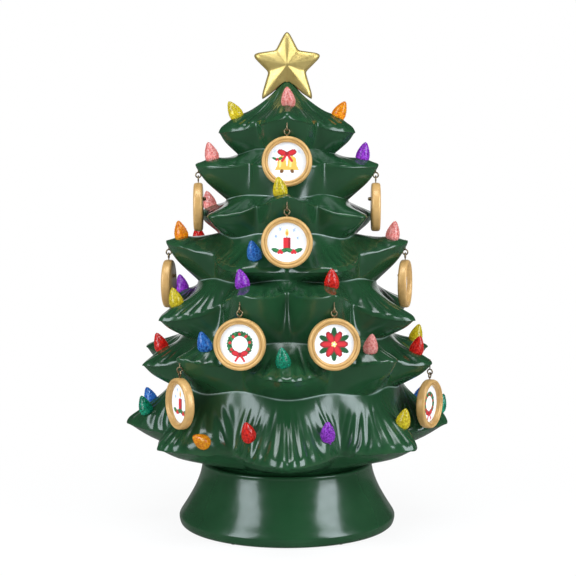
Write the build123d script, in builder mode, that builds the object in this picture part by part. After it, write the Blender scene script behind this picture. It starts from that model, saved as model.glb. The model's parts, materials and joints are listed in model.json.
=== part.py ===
"""Lighted ceramic tree with hanging round ornaments, a star topper and a flared pedestal."""

import math
import os
from collections import namedtuple

from build123d import *

# Whole object
BASE_HEIGHT = 52.0            # table to the top edge of the pedestal
TREE_HEIGHT = 309.0           # top edge of the pedestal to the peak of the tree
TREE_RADIUS = 133.0           # axis to the tip of the longest branch
WALL = 5.0                    # wall of the ceramic castings
TIP_WALL = 12.0               # solid end of a branch
OVERRUN = 2.0                 # how far a cutting body passes beyond what it cuts
SEAT_CLEARANCE = 0.4          # between loose ceramic pieces
FIT_CLEARANCE = 0.15          # between small pieces and their seats

# Pedestal
FOOT_PROUD = 0.8              # rubber feet below the ceramic
PEDESTAL_FOOT_RADIUS = 85.0
PEDESTAL_BULGE_RADIUS = 89.0
PEDESTAL_BULGE_HEIGHT = 6.5
PEDESTAL_TOP_RADIUS = 70.0
PEDESTAL_HOLLOW = 3.0         # inward sag of the flared side
PEDESTAL_LIP = 1.5            # rounding of the top edge
REBATE_DEPTH = 5.0            # seat of the tree's collar below the top edge
DECK_THICKNESS = 6.0
RUBBER_FOOT_RADIUS = 1.9
RUBBER_FOOT_SEAT = 1.6
RUBBER_FOOT_COUNT = 6

# Collar and peak of the tree
COLLAR_RADIUS = 65.5
COLLAR_RISE = 2.0             # visible height of the collar above the pedestal
PEAK_FLAT_RADIUS = 4.6
PEAK_SOLID = 15.0             # solid height under the peak
VALLEY_RISE = 5.0             # lift of the rim between two branches

# Star
STAR_CENTRE_RISE = 13.5       # centre of the star above the peak
STAR_TOP_REACH = 31.0
STAR_ARM_REACH = 29.5
STAR_LEG_REACH = 34.0
STAR_NOTCH_RADIUS = 15.5
STAR_HALF_DEPTH = 9.0
STAR_RIM_HALF_DEPTH = 2.6
STAR_TIP_ROUND = 2.4
STAR_PEG_RADIUS = 3.0
STAR_PEG_DEPTH = 11.0
STAR_PEG_RISE = 8.0

# Light pegs
BULB_RADIUS = 5.8
BULB_HEIGHT = 15.5
BULB_PEG_RADIUS = 2.7
BULB_PEG_LENGTH = 9.0
BULB_SEAT_DEPTH = 1.6         # depth of the flat seat in the branch

# Eyes and ornaments
WIRE_RADIUS = 0.55
EYE_RADIUS = 2.05             # middle line of the wire ring
SHANK_RADIUS = 0.45           # threaded shank of a wire eye
EYE_NECK = 2.4                # bare shank between the ring and the ceramic
EYE_SHANK_DEPTH = 5.0
EYE_TIP_INSET = 2.2           # from the branch tip in to the eye
HANG_CLEARANCE = 0.2          # between the wires of two linked rings
FRAME_RADIUS = 19.5
FRAME_DEPTH = 7.2
FRAME_BACK = 2.0
FRAME_RIM = 4.6               # width of the moulded ring in front of the picture
FRAME_COVE = 1.7              # fall of the moulding towards the picture
FRAME_ROUND = 1.6
GROOVE_WIDTH = 0.9
GROOVE_DEPTH = 0.6
PICTURE_THICKNESS = 1.4
FRAME_SHANK_DEPTH = 3.0
FRAME_NECK = 0.7              # bare shank between ring and frame
STUD_RADIUS = 1.5
STUD_LENGTH = 2.6
STUD_RISE = 6.5               # stud above the middle of the frame
STUD_SEAT = 1.2

# Lamp and battery pieces
HOLDER_RADIUS = 45.0
HOLDER_FLANGE = 2.6
HOLDER_POST_RADIUS = 8.5
HOLDER_POST_HEIGHT = 34.0
HOLDER_HEAD_HEIGHT = 9.0
HOLDER_BORE_RADIUS = 5.6
DECK_HOLE_RADIUS = 10.0
BOARD_RADIUS = 8.6
BOARD_THICKNESS = 1.6
LAMP_RADIUS = 1.5
LAMP_HEIGHT = 4.2
LAMP_CIRCLE_RADIUS = 5.0
LAMP_COUNT = 6
DIFFUSER_RADIUS = 11.4
DIFFUSER_WALL = 1.2
DIFFUSER_HEIGHT = 26.0
DIFFUSER_GRIP = 6.0
CELL_RADIUS = 7.15
CELL_LENGTH = 48.8
CELL_NUB_RADIUS = 2.7
CELL_NUB_LENGTH = 1.4
CELL_COUNT = 3
CELL_GAP = 0.6
CASE_WALL = 1.8
CASE_END_ROOM = 2.6           # room at each end of the cells for the contacts
CONTACT_THICKNESS = 0.5
CONTACT_WIDTH = 9.0
CONTACT_BUTTON_RADIUS = 2.2
CONTACT_SPRING_RADIUS = 4.0
DOOR_THICKNESS = 1.8
DOOR_TONGUE = 1.0             # depth of the door's edge in its groove
DOOR_LIP = 1.4                # case wall under the door's edge
DOOR_CLEARANCE = 0.3
DOOR_GRIP_COUNT = 4
DOOR_GRIP_PITCH = 2.4
DOOR_GRIP_DEPTH = 0.6
DOOR_GRIP_LENGTH = 18.0
SWITCH_WIDTH = 9.0            # inside of the switch housing, across
SWITCH_LENGTH = 15.0          # inside of the switch housing, along the travel
SWITCH_HOUSING_HEIGHT = 9.0
SWITCH_TRAVEL = 4.0
SWITCH_PLATE_LENGTH = 10.0
SWITCH_PLATE_THICKNESS = 1.4
SWITCH_KNOB_LENGTH = 4.0
SWITCH_KNOB_WIDTH = 3.6
SWITCH_KNOB_PROUD = 2.4
SCREW_RADIUS = 1.4
SCREW_HEAD_RADIUS = 2.9
SCREW_HEAD_HEIGHT = 1.8
SCREW_RECESS_RADIUS = 1.1
SCREW_RECESS_DEPTH = 1.0
SCREW_EAR_RADIUS = 5.0
SCREW_EAR_THICKNESS = 4.0
SCREW_SPREAD = 30.0           # between the two screws at one end of the case
LEAD_RADIUS = 0.7
LEAD_SPACING = 5.0

# Branches: azimuth in degrees from the front, reach as a share of the tree's radius, and height of the
# tip as a share of the tree's height. Each list is mirrored to the left side.
Branch = namedtuple("Branch", "azimuth reach_share height_share")
TIER_SHARES = [
    [Branch(0, 0.440, 0.905), Branch(72, 0.432, 0.876), Branch(144, 0.430, 0.890)],
    [Branch(0, 0.352, 0.790), Branch(78, 0.565, 0.789), Branch(144, 0.565, 0.790)],
    [Branch(0, 0.655, 0.706), Branch(48, 0.608, 0.658), Branch(114, 0.600, 0.662),
     Branch(180, 0.615, 0.690)],
    [Branch(24, 0.665, 0.522), Branch(84, 0.742, 0.590), Branch(120, 0.742, 0.566),
     Branch(150, 0.625, 0.525)],
    [Branch(18, 0.865, 0.470), Branch(60, 0.862, 0.398), Branch(114, 0.850, 0.420),
     Branch(150, 0.835, 0.430), Branch(180, 0.850, 0.450)],
    [Branch(0, 0.925, 0.275), Branch(42, 0.925, 0.312), Branch(72, 0.915, 0.278),
     Branch(108, 0.955, 0.302), Branch(150, 0.930, 0.288)],
    [Branch(0, 0.985, 0.072), Branch(48, 0.985, 0.090), Branch(90, 1.000, 0.110),
     Branch(138, 0.990, 0.098), Branch(180, 0.985, 0.080)],
]
# Radius between the branches of each tier, as a share of the tree's radius
VALLEY_SHARES = [0.300, 0.342, 0.420, 0.522, 0.585, 0.715, 0.730]
# Creases between neighbouring tiers: radius and height shares
CREASE_SHARES = [(0.270, 0.824), (0.338, 0.707), (0.414, 0.611), (0.519, 0.497), (0.632, 0.350),
                 (0.692, 0.224)]
# Profile of a branch: outward and downward shares of the way from neck to rim, then from rim to foot
TOP_STEP_SHARES = [(0.16, 0.25), (0.34, 0.45), (0.56, 0.64), (0.80, 0.79), (0.95, 0.89), (1.0, 1.0)]
UNDER_STEP_SHARES = [(0.06, 0.17), (0.36, 0.53)]
CAVITY_TOP_STEP_SHARES = [(0.34, 0.45), (0.70, 0.72)]
CAVITY_UNDER_STEP_SHARES = [(0.50, 0.60)]
LOBE_POWER = 1.15
RING_POINTS = 60
# Outline of a light peg: radius and height shares, from its seat to its tip
BULB_OUTLINE_SHARES = [(0.86, 0.0), (1.0, 0.27), (0.80, 0.56), (0.44, 0.84), (0.0, 1.0)]
LAMP_DOME_SHARE = 0.9

# Light pegs: tier, azimuth, place on the branch as a share from neck to tip, lean outward in degrees
Bulb = namedtuple("Bulb", "tier azimuth place_share lean")
BULB_SHARES = {
    "pink": [Bulb(0, 0, 0.55, 22), Bulb(1, -74, 0.70, 14), Bulb(3, 77, 0.82, 12),
             Bulb(5, 36, 0.62, 18), Bulb(4, 172, 0.62, 18), Bulb(2, -112, 0.66, 18)],
    "yellow": [Bulb(0, -72, 0.60, 30), Bulb(2, -5, 0.72, 16), Bulb(4, -62, 0.62, 14),
               Bulb(5, 100, 0.82, 14), Bulb(6, 50, 0.50, 18), Bulb(3, 150, 0.62, 18)],
    "orange": [Bulb(0, 72, 0.60, 30), Bulb(3, -80, 0.76, 12), Bulb(4, 140, 0.62, 16),
               Bulb(6, -34, 0.82, 60), Bulb(5, 156, 0.60, 18)],
    "purple": [Bulb(1, 77, 0.66, 12), Bulb(4, -23, 0.46, 16), Bulb(4, -112, 0.56, 16),
               Bulb(6, 16, 0.54, 22), Bulb(6, 160, 0.52, 18)],
    "red": [Bulb(3, -120, 0.66, 16), Bulb(4, 22, 0.42, 16), Bulb(5, -78, 0.54, 20),
            Bulb(5, 72, 0.58, 16), Bulb(6, -16, 0.56, 22), Bulb(0, 176, 0.50, 24)],
    "blue": [Bulb(3, -20, 0.56, 18), Bulb(5, -38, 0.48, 16), Bulb(6, -97, 0.54, 22),
             Bulb(6, 97, 0.50, 16), Bulb(1, 166, 0.60, 18)],
    "green": [Bulb(5, -2, 0.57, 18), Bulb(6, -82, 0.70, 20), Bulb(6, 91, 0.78, 18),
              Bulb(2, 172, 0.66, 18), Bulb(5, -156, 0.60, 18)],
}

# Ornaments: tier, azimuth of the branch and azimuth towards which the picture faces
Ornament = namedtuple("Ornament", "tier azimuth facing")
ORNAMENTS = [
    Ornament(0, 0, 0), Ornament(2, 0, 0), Ornament(4, -18, -8), Ornament(4, 18, 8),
    Ornament(1, -78, -88), Ornament(1, 78, 88), Ornament(3, -84, -94), Ornament(3, 84, 77),
    Ornament(5, -42, -60), Ornament(5, 72, 60), Ornament(2, 180, 180), Ornament(4, 180, 180),
]

AZIMUTHS = [360 * place / RING_POINTS - 180 for place in range(RING_POINTS)]
PEAK_HEIGHT = BASE_HEIGHT + TREE_HEIGHT
SEAT_HEIGHT = BASE_HEIGHT - REBATE_DEPTH
COLLAR_TOP = BASE_HEIGHT + COLLAR_RISE
DECK_BOTTOM = SEAT_HEIGHT - DECK_THICKNESS
UP = Vector(0, 0, 1)


def polar(radius, azimuth, height):
    """Point at a radius and an azimuth; zero degrees is the front, ninety is the right side."""
    turn = math.radians(azimuth)
    return Vector(radius * math.sin(turn), -radius * math.cos(turn), height)


def all_round(branches):
    """Branches of one tier in order of azimuth, from the listed half and its mirror image."""
    half = sorted(branches, key=lambda branch: branch.azimuth)
    mirrored = [Branch(-b.azimuth, b.reach_share, b.height_share) for b in half if 0 < b.azimuth < 180]
    return sorted(half + mirrored, key=lambda branch: branch.azimuth)


def rim_at(index, azimuth):
    """Fullness, reach and height of one tier's rim at an azimuth."""
    ring = all_round(TIER_SHARES[index])
    for place, here in enumerate(ring):
        after = ring[(place + 1) % len(ring)]
        span = (after.azimuth - here.azimuth) % 360
        step = ((azimuth - here.azimuth) % 360) / span
        if step <= 1:
            break
    blend = (1 - math.cos(math.pi * step)) / 2
    fullness = 1 - (1 - abs(1 - 2 * step)) ** LOBE_POWER
    reach = here.reach_share + blend * (after.reach_share - here.reach_share)
    height = here.height_share + blend * (after.height_share - here.height_share)
    return fullness, reach * TREE_RADIUS, BASE_HEIGHT + height * TREE_HEIGHT + VALLEY_RISE * (1 - fullness)


def neck_and_foot(index):
    """Circles that close one tier above and below: radius and height of each."""
    circles = [(PEAK_FLAT_RADIUS, PEAK_HEIGHT)]
    circles += [(radius * TREE_RADIUS, BASE_HEIGHT + height * TREE_HEIGHT)
                for radius, height in CREASE_SHARES]
    circles += [(COLLAR_RADIUS, COLLAR_TOP)]
    return circles[index], circles[index + 1]


def outside_rings(index):
    """Closed outlines of the outside of one tier from neck to foot."""
    neck, foot = neck_and_foot(index)
    valley = VALLEY_SHARES[index] * TREE_RADIUS
    rim = []
    for azimuth in AZIMUTHS:
        fullness, reach, height = rim_at(index, azimuth)
        rim.append((azimuth, valley + (reach - valley) * fullness, height))
    rings = [[polar(neck[0], azimuth, neck[1]) for azimuth in AZIMUTHS]]
    for out, down in TOP_STEP_SHARES:
        rings.append([polar(neck[0] + out * (radius - neck[0]), azimuth, neck[1] + down * (height - neck[1]))
                      for azimuth, radius, height in rim])
    for back, down in UNDER_STEP_SHARES:
        rings.append([polar(radius + back * (foot[0] - radius), azimuth, height + down * (foot[1] - height))
                      for azimuth, radius, height in rim])
    rings.append([polar(foot[0], azimuth, foot[1]) for azimuth in AZIMUTHS])
    return rings


def inside_rings(index):
    """Closed outlines of the hollow inside one tier from neck to foot."""
    neck, foot = neck_and_foot(index)
    neck_radius = max(neck[0] - WALL, PEAK_FLAT_RADIUS / 2)
    neck_height = neck[1] if index else PEAK_HEIGHT - PEAK_SOLID
    foot_radius = foot[0] - WALL
    valley = VALLEY_SHARES[index] * TREE_RADIUS
    rim = []
    for azimuth in AZIMUTHS:
        fullness, reach, height = rim_at(index, azimuth)
        end = max(reach - TIP_WALL, valley - WALL)
        rim.append((azimuth, valley - WALL + (end - valley + WALL) * fullness, height - WALL))
    rings = [[polar(neck_radius, azimuth, neck_height) for azimuth in AZIMUTHS]]
    for out, down in CAVITY_TOP_STEP_SHARES:
        rings.append([polar(neck_radius + out * (radius - neck_radius), azimuth,
                            neck[1] + down * (height + WALL - neck[1]) - WALL)
                      for azimuth, radius, height in rim])
    rings.append([polar(radius, azimuth, height) for azimuth, radius, height in rim])
    for back, down in CAVITY_UNDER_STEP_SHARES:
        rings.append([polar(radius + back * (foot_radius - radius), azimuth,
                            height + down * (foot[1] - height))
                      for azimuth, radius, height in rim])
    rings.append([polar(foot_radius, azimuth, foot[1]) for azimuth in AZIMUTHS])
    return rings


def closed_wire(ring):
    """Smooth closed outline through the points of a ring, all rings running alike."""
    steps = [place / len(ring) for place in range(len(ring) + 1)]
    return Wire([Edge.make_spline(ring, periodic=True, parameters=steps)])


def skin(rings):
    """Skin through closed outlines."""
    return Shell.make_loft([closed_wire(ring) for ring in rings], True)


def surface_hit(tier_skin, azimuth, radius, height, lean, upper):
    """Top or bottom point of a tier's skin on a line that leans outward, and the line's direction."""
    turn = math.radians(lean)
    direction = polar(math.sin(turn), azimuth, math.cos(turn))
    start = polar(radius, azimuth, height)
    hits = [hit[0] for hit in tier_skin.find_intersection_points(Axis(start, direction))]
    hits.sort(key=lambda point: (point - start).dot(direction))
    return (hits[-1] if upper else hits[0]), direction


def turning_plane(origin, direction):
    """Plane through an axis: local y runs along the axis and local x away from it."""
    side = direction.cross(UP)
    if side.length < 0.1:
        side = Vector(1, 0, 0)
    side = side.normalized()
    return Plane(origin=origin, x_dir=side, z_dir=side.cross(direction))


def bulb_seat(bulb):
    """Middle of a light peg's flat seat and the direction of the peg."""
    neck, _ = neck_and_foot(bulb.tier)
    fullness, reach, height = rim_at(bulb.tier, bulb.azimuth)
    valley = VALLEY_SHARES[bulb.tier] * TREE_RADIUS
    rim = valley + (reach - valley) * fullness
    radius = neck[0] + bulb.place_share * (rim - neck[0])
    point, direction = surface_hit(tier_skins[bulb.tier], bulb.azimuth, radius, height, bulb.lean, True)
    return point - direction * BULB_SEAT_DEPTH, direction


def eye_centre(ornament):
    """Middle of the wire ring under the branch that carries an ornament."""
    fullness, reach, height = rim_at(ornament.tier, ornament.azimuth)
    point, _ = surface_hit(tier_skins[ornament.tier], ornament.azimuth, reach - EYE_TIP_INSET,
                           height, 0, False)
    return point - UP * (EYE_NECK + EYE_RADIUS + WIRE_RADIUS)


def screw_eye(centre, ring_axis, shank, shank_length):
    """Wire ring with a straight shank, added to the part in hand."""
    with BuildSketch(Plane(origin=centre, x_dir=ring_axis, z_dir=ring_axis.cross(shank))) as wire_section:
        with Locations((0, EYE_RADIUS)):
            Circle(WIRE_RADIUS)
    revolve(wire_section.sketch, axis=Axis(centre, ring_axis))
    with BuildSketch(Plane(origin=centre + shank * EYE_RADIUS, z_dir=shank)) as shank_section:
        Circle(SHANK_RADIUS)
    extrude(shank_section.sketch, amount=shank_length)


# Skins of the tree shell, outside and inside, tier by tier
TIER_COUNT = len(TIER_SHARES)
outer_rings = [outside_rings(index) for index in range(TIER_COUNT)]
inner_rings = [inside_rings(index) for index in range(TIER_COUNT)]
tier_skins = [skin(rings) for rings in outer_rings]
hollow_skins = [skin(rings) for rings in inner_rings]
collar_outside = [polar(COLLAR_RADIUS, azimuth, SEAT_HEIGHT) for azimuth in AZIMUTHS]
collar_inside = [polar(COLLAR_RADIUS - WALL, azimuth, SEAT_HEIGHT) for azimuth in AZIMUTHS]
shell_faces = []
for tier_skin in tier_skins + hollow_skins:
    shell_faces += tier_skin.faces()
shell_faces += skin([outer_rings[-1][-1], collar_outside]).faces()
shell_faces += skin([inner_rings[-1][-1], collar_inside]).faces()
shell_faces.append(Face(closed_wire(outer_rings[0][0])))
shell_faces.append(Face(closed_wire(inner_rings[0][0])))
shell_faces.append(Face(closed_wire(collar_outside), [closed_wire(collar_inside)]))
shell_form = Solid(Shell(shell_faces))

bulb_seats = {colour: [bulb_seat(bulb) for bulb in bulbs] for colour, bulbs in BULB_SHARES.items()}
eye_centres = [eye_centre(ornament) for ornament in ORNAMENTS]

# Holes of the shell: a seat and a peg hole for every light, a shank hole for every eye, the star's socket
with BuildPart() as shell_holes:
    for seats in bulb_seats.values():
        for seat, direction in seats:
            with BuildSketch(Plane(origin=seat, z_dir=direction)):
                Circle(BULB_RADIUS + FIT_CLEARANCE)
            extrude(amount=BULB_HEIGHT)
            with BuildSketch(Plane(origin=seat, z_dir=direction)):
                Circle(BULB_PEG_RADIUS + FIT_CLEARANCE)
            extrude(amount=-(BULB_PEG_LENGTH + OVERRUN))
    for centre in eye_centres:
        with BuildSketch(Plane(origin=centre + UP * (EYE_RADIUS + WIRE_RADIUS))):
            Circle(SHANK_RADIUS + FIT_CLEARANCE / 2)
        extrude(amount=EYE_NECK + EYE_SHANK_DEPTH + FIT_CLEARANCE)
    with BuildSketch(Plane.XY.offset(PEAK_HEIGHT - STAR_PEG_DEPTH - SEAT_CLEARANCE)):
        Circle(STAR_PEG_RADIUS + FIT_CLEARANCE)
    extrude(amount=STAR_PEG_DEPTH + SEAT_CLEARANCE + OVERRUN)

with BuildPart() as tree_body:
    add(shell_form)
    add(shell_holes.part, mode=Mode.SUBTRACT)

with BuildPart() as branch_eyes:
    for ornament, centre in zip(ORNAMENTS, eye_centres):
        screw_eye(centre, polar(1, ornament.facing + 90, 0), UP, WIRE_RADIUS + EYE_NECK + EYE_SHANK_DEPTH)

os.makedirs("parts", exist_ok=True)
named = {"tree_body": tree_body, "branch_eyes": branch_eyes}

for colour, seats in bulb_seats.items():
    with BuildPart() as bulb_group:
        for seat, direction in seats:
            outline = [(share_r * BULB_RADIUS, share_h * BULB_HEIGHT)
                       for share_r, share_h in BULB_OUTLINE_SHARES]
            with BuildSketch(turning_plane(seat, direction)):
                with BuildLine():
                    Spline(*outline, tangents=((1, 1), (-1, 0)))
                    Polyline(outline[-1], (0, -BULB_PEG_LENGTH), (BULB_PEG_RADIUS, -BULB_PEG_LENGTH),
                             (BULB_PEG_RADIUS, 0), outline[0])
                make_face()
            revolve(axis=Axis(seat, direction))
    named["bulbs_" + colour] = bulb_group

# Star on its peg, hollowed below to straddle the peak
star_middle = PEAK_HEIGHT + STAR_CENTRE_RISE
star_reaches = [STAR_TOP_REACH, STAR_ARM_REACH, STAR_LEG_REACH, STAR_LEG_REACH, STAR_ARM_REACH]
star_outline = []
for arm, reach in enumerate(star_reaches):
    tip_turn = math.radians(90 + 72 * arm)
    notch_turn = math.radians(126 + 72 * arm)
    star_outline.append((reach * math.cos(tip_turn), reach * math.sin(tip_turn)))
    star_outline.append((STAR_NOTCH_RADIUS * math.cos(notch_turn),
                         STAR_NOTCH_RADIUS * math.sin(notch_turn)))
with BuildPart() as star:
    star_back = Plane(origin=(0, STAR_RIM_HALF_DEPTH, star_middle), x_dir=(1, 0, 0), z_dir=(0, -1, 0))
    with BuildSketch(star_back) as star_face:
        Polygon(*star_outline, align=None)
        fillet(star_face.vertices(), STAR_TIP_ROUND)
    extrude(amount=2 * STAR_RIM_HALF_DEPTH)
    back_face = star_face.sketch.face()
    front_face = back_face.moved(Location((0, -2 * STAR_RIM_HALF_DEPTH, 0)))
    loft(sections=[back_face, Vertex(0, STAR_HALF_DEPTH, star_middle)], ruled=True)
    loft(sections=[front_face, Vertex(0, -STAR_HALF_DEPTH, star_middle)], ruled=True)
    add(shell_form.moved(Location((0, 0, SEAT_CLEARANCE))), mode=Mode.SUBTRACT)
    with BuildSketch(Plane.XY.offset(PEAK_HEIGHT)):
        Circle(PEAK_FLAT_RADIUS - SEAT_CLEARANCE)
    extrude(amount=STAR_PEG_RISE)
    with BuildSketch(Plane.XY.offset(PEAK_HEIGHT - STAR_PEG_DEPTH)):
        Circle(STAR_PEG_RADIUS)
    extrude(amount=STAR_PEG_DEPTH + STAR_PEG_RISE)
named["star"] = star

# Ornaments: round moulded frame, picture disc, and the eye and stud
for number, (ornament, branch_ring) in enumerate(zip(ORNAMENTS, eye_centres), start=1):
    facing = polar(1, ornament.facing, 0)
    ring = branch_ring - UP * (2 * EYE_RADIUS - 2 * WIRE_RADIUS - HANG_CLEARANCE)
    middle = ring - UP * (EYE_RADIUS + WIRE_RADIUS + FRAME_NECK + FRAME_RADIUS)
    half = FRAME_DEPTH / 2
    opening = FRAME_RADIUS - FRAME_RIM
    groove = FRAME_RADIUS - FRAME_ROUND - GROOVE_WIDTH
    turned = Plane(origin=middle, x_dir=UP, z_dir=UP.cross(facing))
    stud_place = middle + UP * STUD_RISE - facing * half
    shank_start = ring - UP * (EYE_RADIUS + WIRE_RADIUS)
    with BuildPart() as frame:
        with BuildSketch(turned):
            with BuildLine():
                Polyline((FRAME_RADIUS - FRAME_ROUND, -half), (0, -half), (0, FRAME_BACK - half),
                         (opening, FRAME_BACK - half), (opening, half - FRAME_COVE),
                         (groove - GROOVE_WIDTH / 2, half - GROOVE_DEPTH / 2), (groove, half - GROOVE_DEPTH),
                         (groove + GROOVE_WIDTH / 2, half), (FRAME_RADIUS - FRAME_ROUND, half))
                RadiusArc((FRAME_RADIUS - FRAME_ROUND, half), (FRAME_RADIUS, half - FRAME_ROUND),
                          FRAME_ROUND)
                Line((FRAME_RADIUS, half - FRAME_ROUND), (FRAME_RADIUS, FRAME_ROUND - half))
                RadiusArc((FRAME_RADIUS, FRAME_ROUND - half), (FRAME_RADIUS - FRAME_ROUND, -half),
                          FRAME_ROUND)
            make_face()
        revolve(axis=Axis(middle, facing))
        with BuildSketch(Plane(origin=shank_start)):
            Circle(SHANK_RADIUS + FIT_CLEARANCE / 2)
        extrude(amount=-(FRAME_NECK + FRAME_SHANK_DEPTH + FIT_CLEARANCE), mode=Mode.SUBTRACT)
        with BuildSketch(Plane(origin=stud_place, z_dir=facing)):
            Circle(STUD_RADIUS / 2 + FIT_CLEARANCE / 2)
        extrude(amount=STUD_SEAT + FIT_CLEARANCE, mode=Mode.SUBTRACT)
    with BuildPart() as picture:
        with BuildSketch(Plane(origin=middle + facing * (FRAME_BACK - half), z_dir=facing)):
            Circle(opening - FIT_CLEARANCE)
        extrude(amount=PICTURE_THICKNESS)
    with BuildPart() as fittings:
        screw_eye(ring, facing, -UP, WIRE_RADIUS + FRAME_NECK + FRAME_SHANK_DEPTH)
        with BuildSketch(turning_plane(stud_place, -facing)):
            with BuildLine():
                Polyline((0, STUD_LENGTH), (0, -STUD_SEAT),
                         (STUD_RADIUS / 2, -STUD_SEAT), (STUD_RADIUS / 2, 0),
                         (STUD_RADIUS, 0), (STUD_RADIUS, STUD_LENGTH / 2))
                Spline((STUD_RADIUS, STUD_LENGTH / 2), (0, STUD_LENGTH), tangents=((0, 1), (-1, 0)))
            make_face()
        revolve(axis=Axis(stud_place, -facing))
    prefix = "ornament_%02d_" % number
    named[prefix + "frame"] = frame
    named[prefix + "picture"] = picture
    named[prefix + "fittings"] = fittings

# Pedestal with its deck and the rebate for the tree's collar
case_half_length = (CELL_LENGTH + CELL_NUB_LENGTH) / 2 + CASE_END_ROOM + CASE_WALL
cells_width = CELL_COUNT * 2 * CELL_RADIUS + (CELL_COUNT + 1) * CELL_GAP
case_half_width = cells_width / 2 + CASE_WALL
screw_x = case_half_length + SCREW_EAR_RADIUS
screw_places = [(sx * screw_x, sy * SCREW_SPREAD / 2) for sx in (-1, 1) for sy in (-1, 1)]
foot_inner_radius = PEDESTAL_FOOT_RADIUS - WALL
foot_circle = PEDESTAL_FOOT_RADIUS - WALL / 2
with BuildPart() as base_pedestal:
    with BuildSketch(Plane.XZ):
        with BuildLine():
            Spline((PEDESTAL_FOOT_RADIUS, FOOT_PROUD), (PEDESTAL_BULGE_RADIUS, PEDESTAL_BULGE_HEIGHT),
                   tangents=((1, 0), (0, 1)))
            Spline((PEDESTAL_BULGE_RADIUS, PEDESTAL_BULGE_HEIGHT),
                   ((PEDESTAL_BULGE_RADIUS + PEDESTAL_TOP_RADIUS) / 2 - PEDESTAL_HOLLOW,
                    (PEDESTAL_BULGE_HEIGHT + BASE_HEIGHT) / 2),
                   (PEDESTAL_TOP_RADIUS, BASE_HEIGHT - PEDESTAL_LIP), tangents=((0, 1), (0, 1)))
            RadiusArc((PEDESTAL_TOP_RADIUS, BASE_HEIGHT - PEDESTAL_LIP),
                      (PEDESTAL_TOP_RADIUS - PEDESTAL_LIP, BASE_HEIGHT), -PEDESTAL_LIP)
            Polyline((PEDESTAL_TOP_RADIUS - PEDESTAL_LIP, BASE_HEIGHT),
                     (COLLAR_RADIUS + SEAT_CLEARANCE, BASE_HEIGHT),
                     (COLLAR_RADIUS + SEAT_CLEARANCE, SEAT_HEIGHT), (DECK_HOLE_RADIUS, SEAT_HEIGHT),
                     (DECK_HOLE_RADIUS, DECK_BOTTOM), (PEDESTAL_TOP_RADIUS - 2 * WALL, DECK_BOTTOM),
                     (foot_inner_radius, FOOT_PROUD), (PEDESTAL_FOOT_RADIUS, FOOT_PROUD))
        make_face()
    revolve(axis=Axis.Z)
    with BuildSketch(Plane.XY.offset(FOOT_PROUD)):
        with PolarLocations(foot_circle, RUBBER_FOOT_COUNT):
            Circle(RUBBER_FOOT_RADIUS + FIT_CLEARANCE)
    extrude(amount=RUBBER_FOOT_SEAT, mode=Mode.SUBTRACT)
    with BuildSketch(Plane.XY.offset(DECK_BOTTOM)):
        with Locations(*screw_places):
            Circle(SCREW_RADIUS + SEAT_CLEARANCE)
    extrude(amount=DECK_THICKNESS, mode=Mode.SUBTRACT)
named["base_pedestal"] = base_pedestal

with BuildPart() as rubber_feet:
    with BuildSketch():
        with PolarLocations(foot_circle, RUBBER_FOOT_COUNT):
            Circle(RUBBER_FOOT_RADIUS)
    extrude(amount=FOOT_PROUD + RUBBER_FOOT_SEAT)
named["rubber_feet"] = rubber_feet

# Lamp holder on the deck, with its board, lamps and diffuser
post_top = SEAT_HEIGHT + HOLDER_POST_HEIGHT
head_radius = DIFFUSER_RADIUS - DIFFUSER_WALL - FIT_CLEARANCE
with BuildPart() as lamp_holder:
    with BuildSketch(Plane.XZ):
        with BuildLine():
            Polyline((HOLDER_BORE_RADIUS, SEAT_HEIGHT), (HOLDER_RADIUS, SEAT_HEIGHT),
                     (HOLDER_RADIUS, SEAT_HEIGHT + HOLDER_FLANGE),
                     (HOLDER_POST_RADIUS, SEAT_HEIGHT + HOLDER_FLANGE),
                     (HOLDER_POST_RADIUS, post_top - HOLDER_HEAD_HEIGHT),
                     (DIFFUSER_RADIUS, post_top - HOLDER_HEAD_HEIGHT),
                     (DIFFUSER_RADIUS, post_top - DIFFUSER_GRIP),
                     (head_radius, post_top - DIFFUSER_GRIP), (head_radius, post_top),
                     (HOLDER_BORE_RADIUS, post_top), close=True)
        make_face()
    revolve(axis=Axis.Z)
    with BuildSketch(Plane.XY.offset(SEAT_HEIGHT)):
        with Locations(*screw_places):
            Circle(SCREW_RADIUS + FIT_CLEARANCE / 2)
    extrude(amount=HOLDER_FLANGE, mode=Mode.SUBTRACT)
named["lamp_holder"] = lamp_holder

with BuildPart() as led_board:
    with BuildSketch(Plane.XY.offset(post_top)):
        Circle(BOARD_RADIUS)
    extrude(amount=BOARD_THICKNESS)
named["led_board"] = led_board

with BuildPart() as led_lamps:
    with BuildSketch(Plane.XY.offset(post_top + BOARD_THICKNESS)):
        with PolarLocations(LAMP_CIRCLE_RADIUS, LAMP_COUNT):
            Circle(LAMP_RADIUS)
    extrude(amount=LAMP_HEIGHT)
    fillet(led_lamps.faces().sort_by(Axis.Z)[-LAMP_COUNT:].edges(), LAMP_RADIUS * LAMP_DOME_SHARE)
named["led_lamps"] = led_lamps

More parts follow.
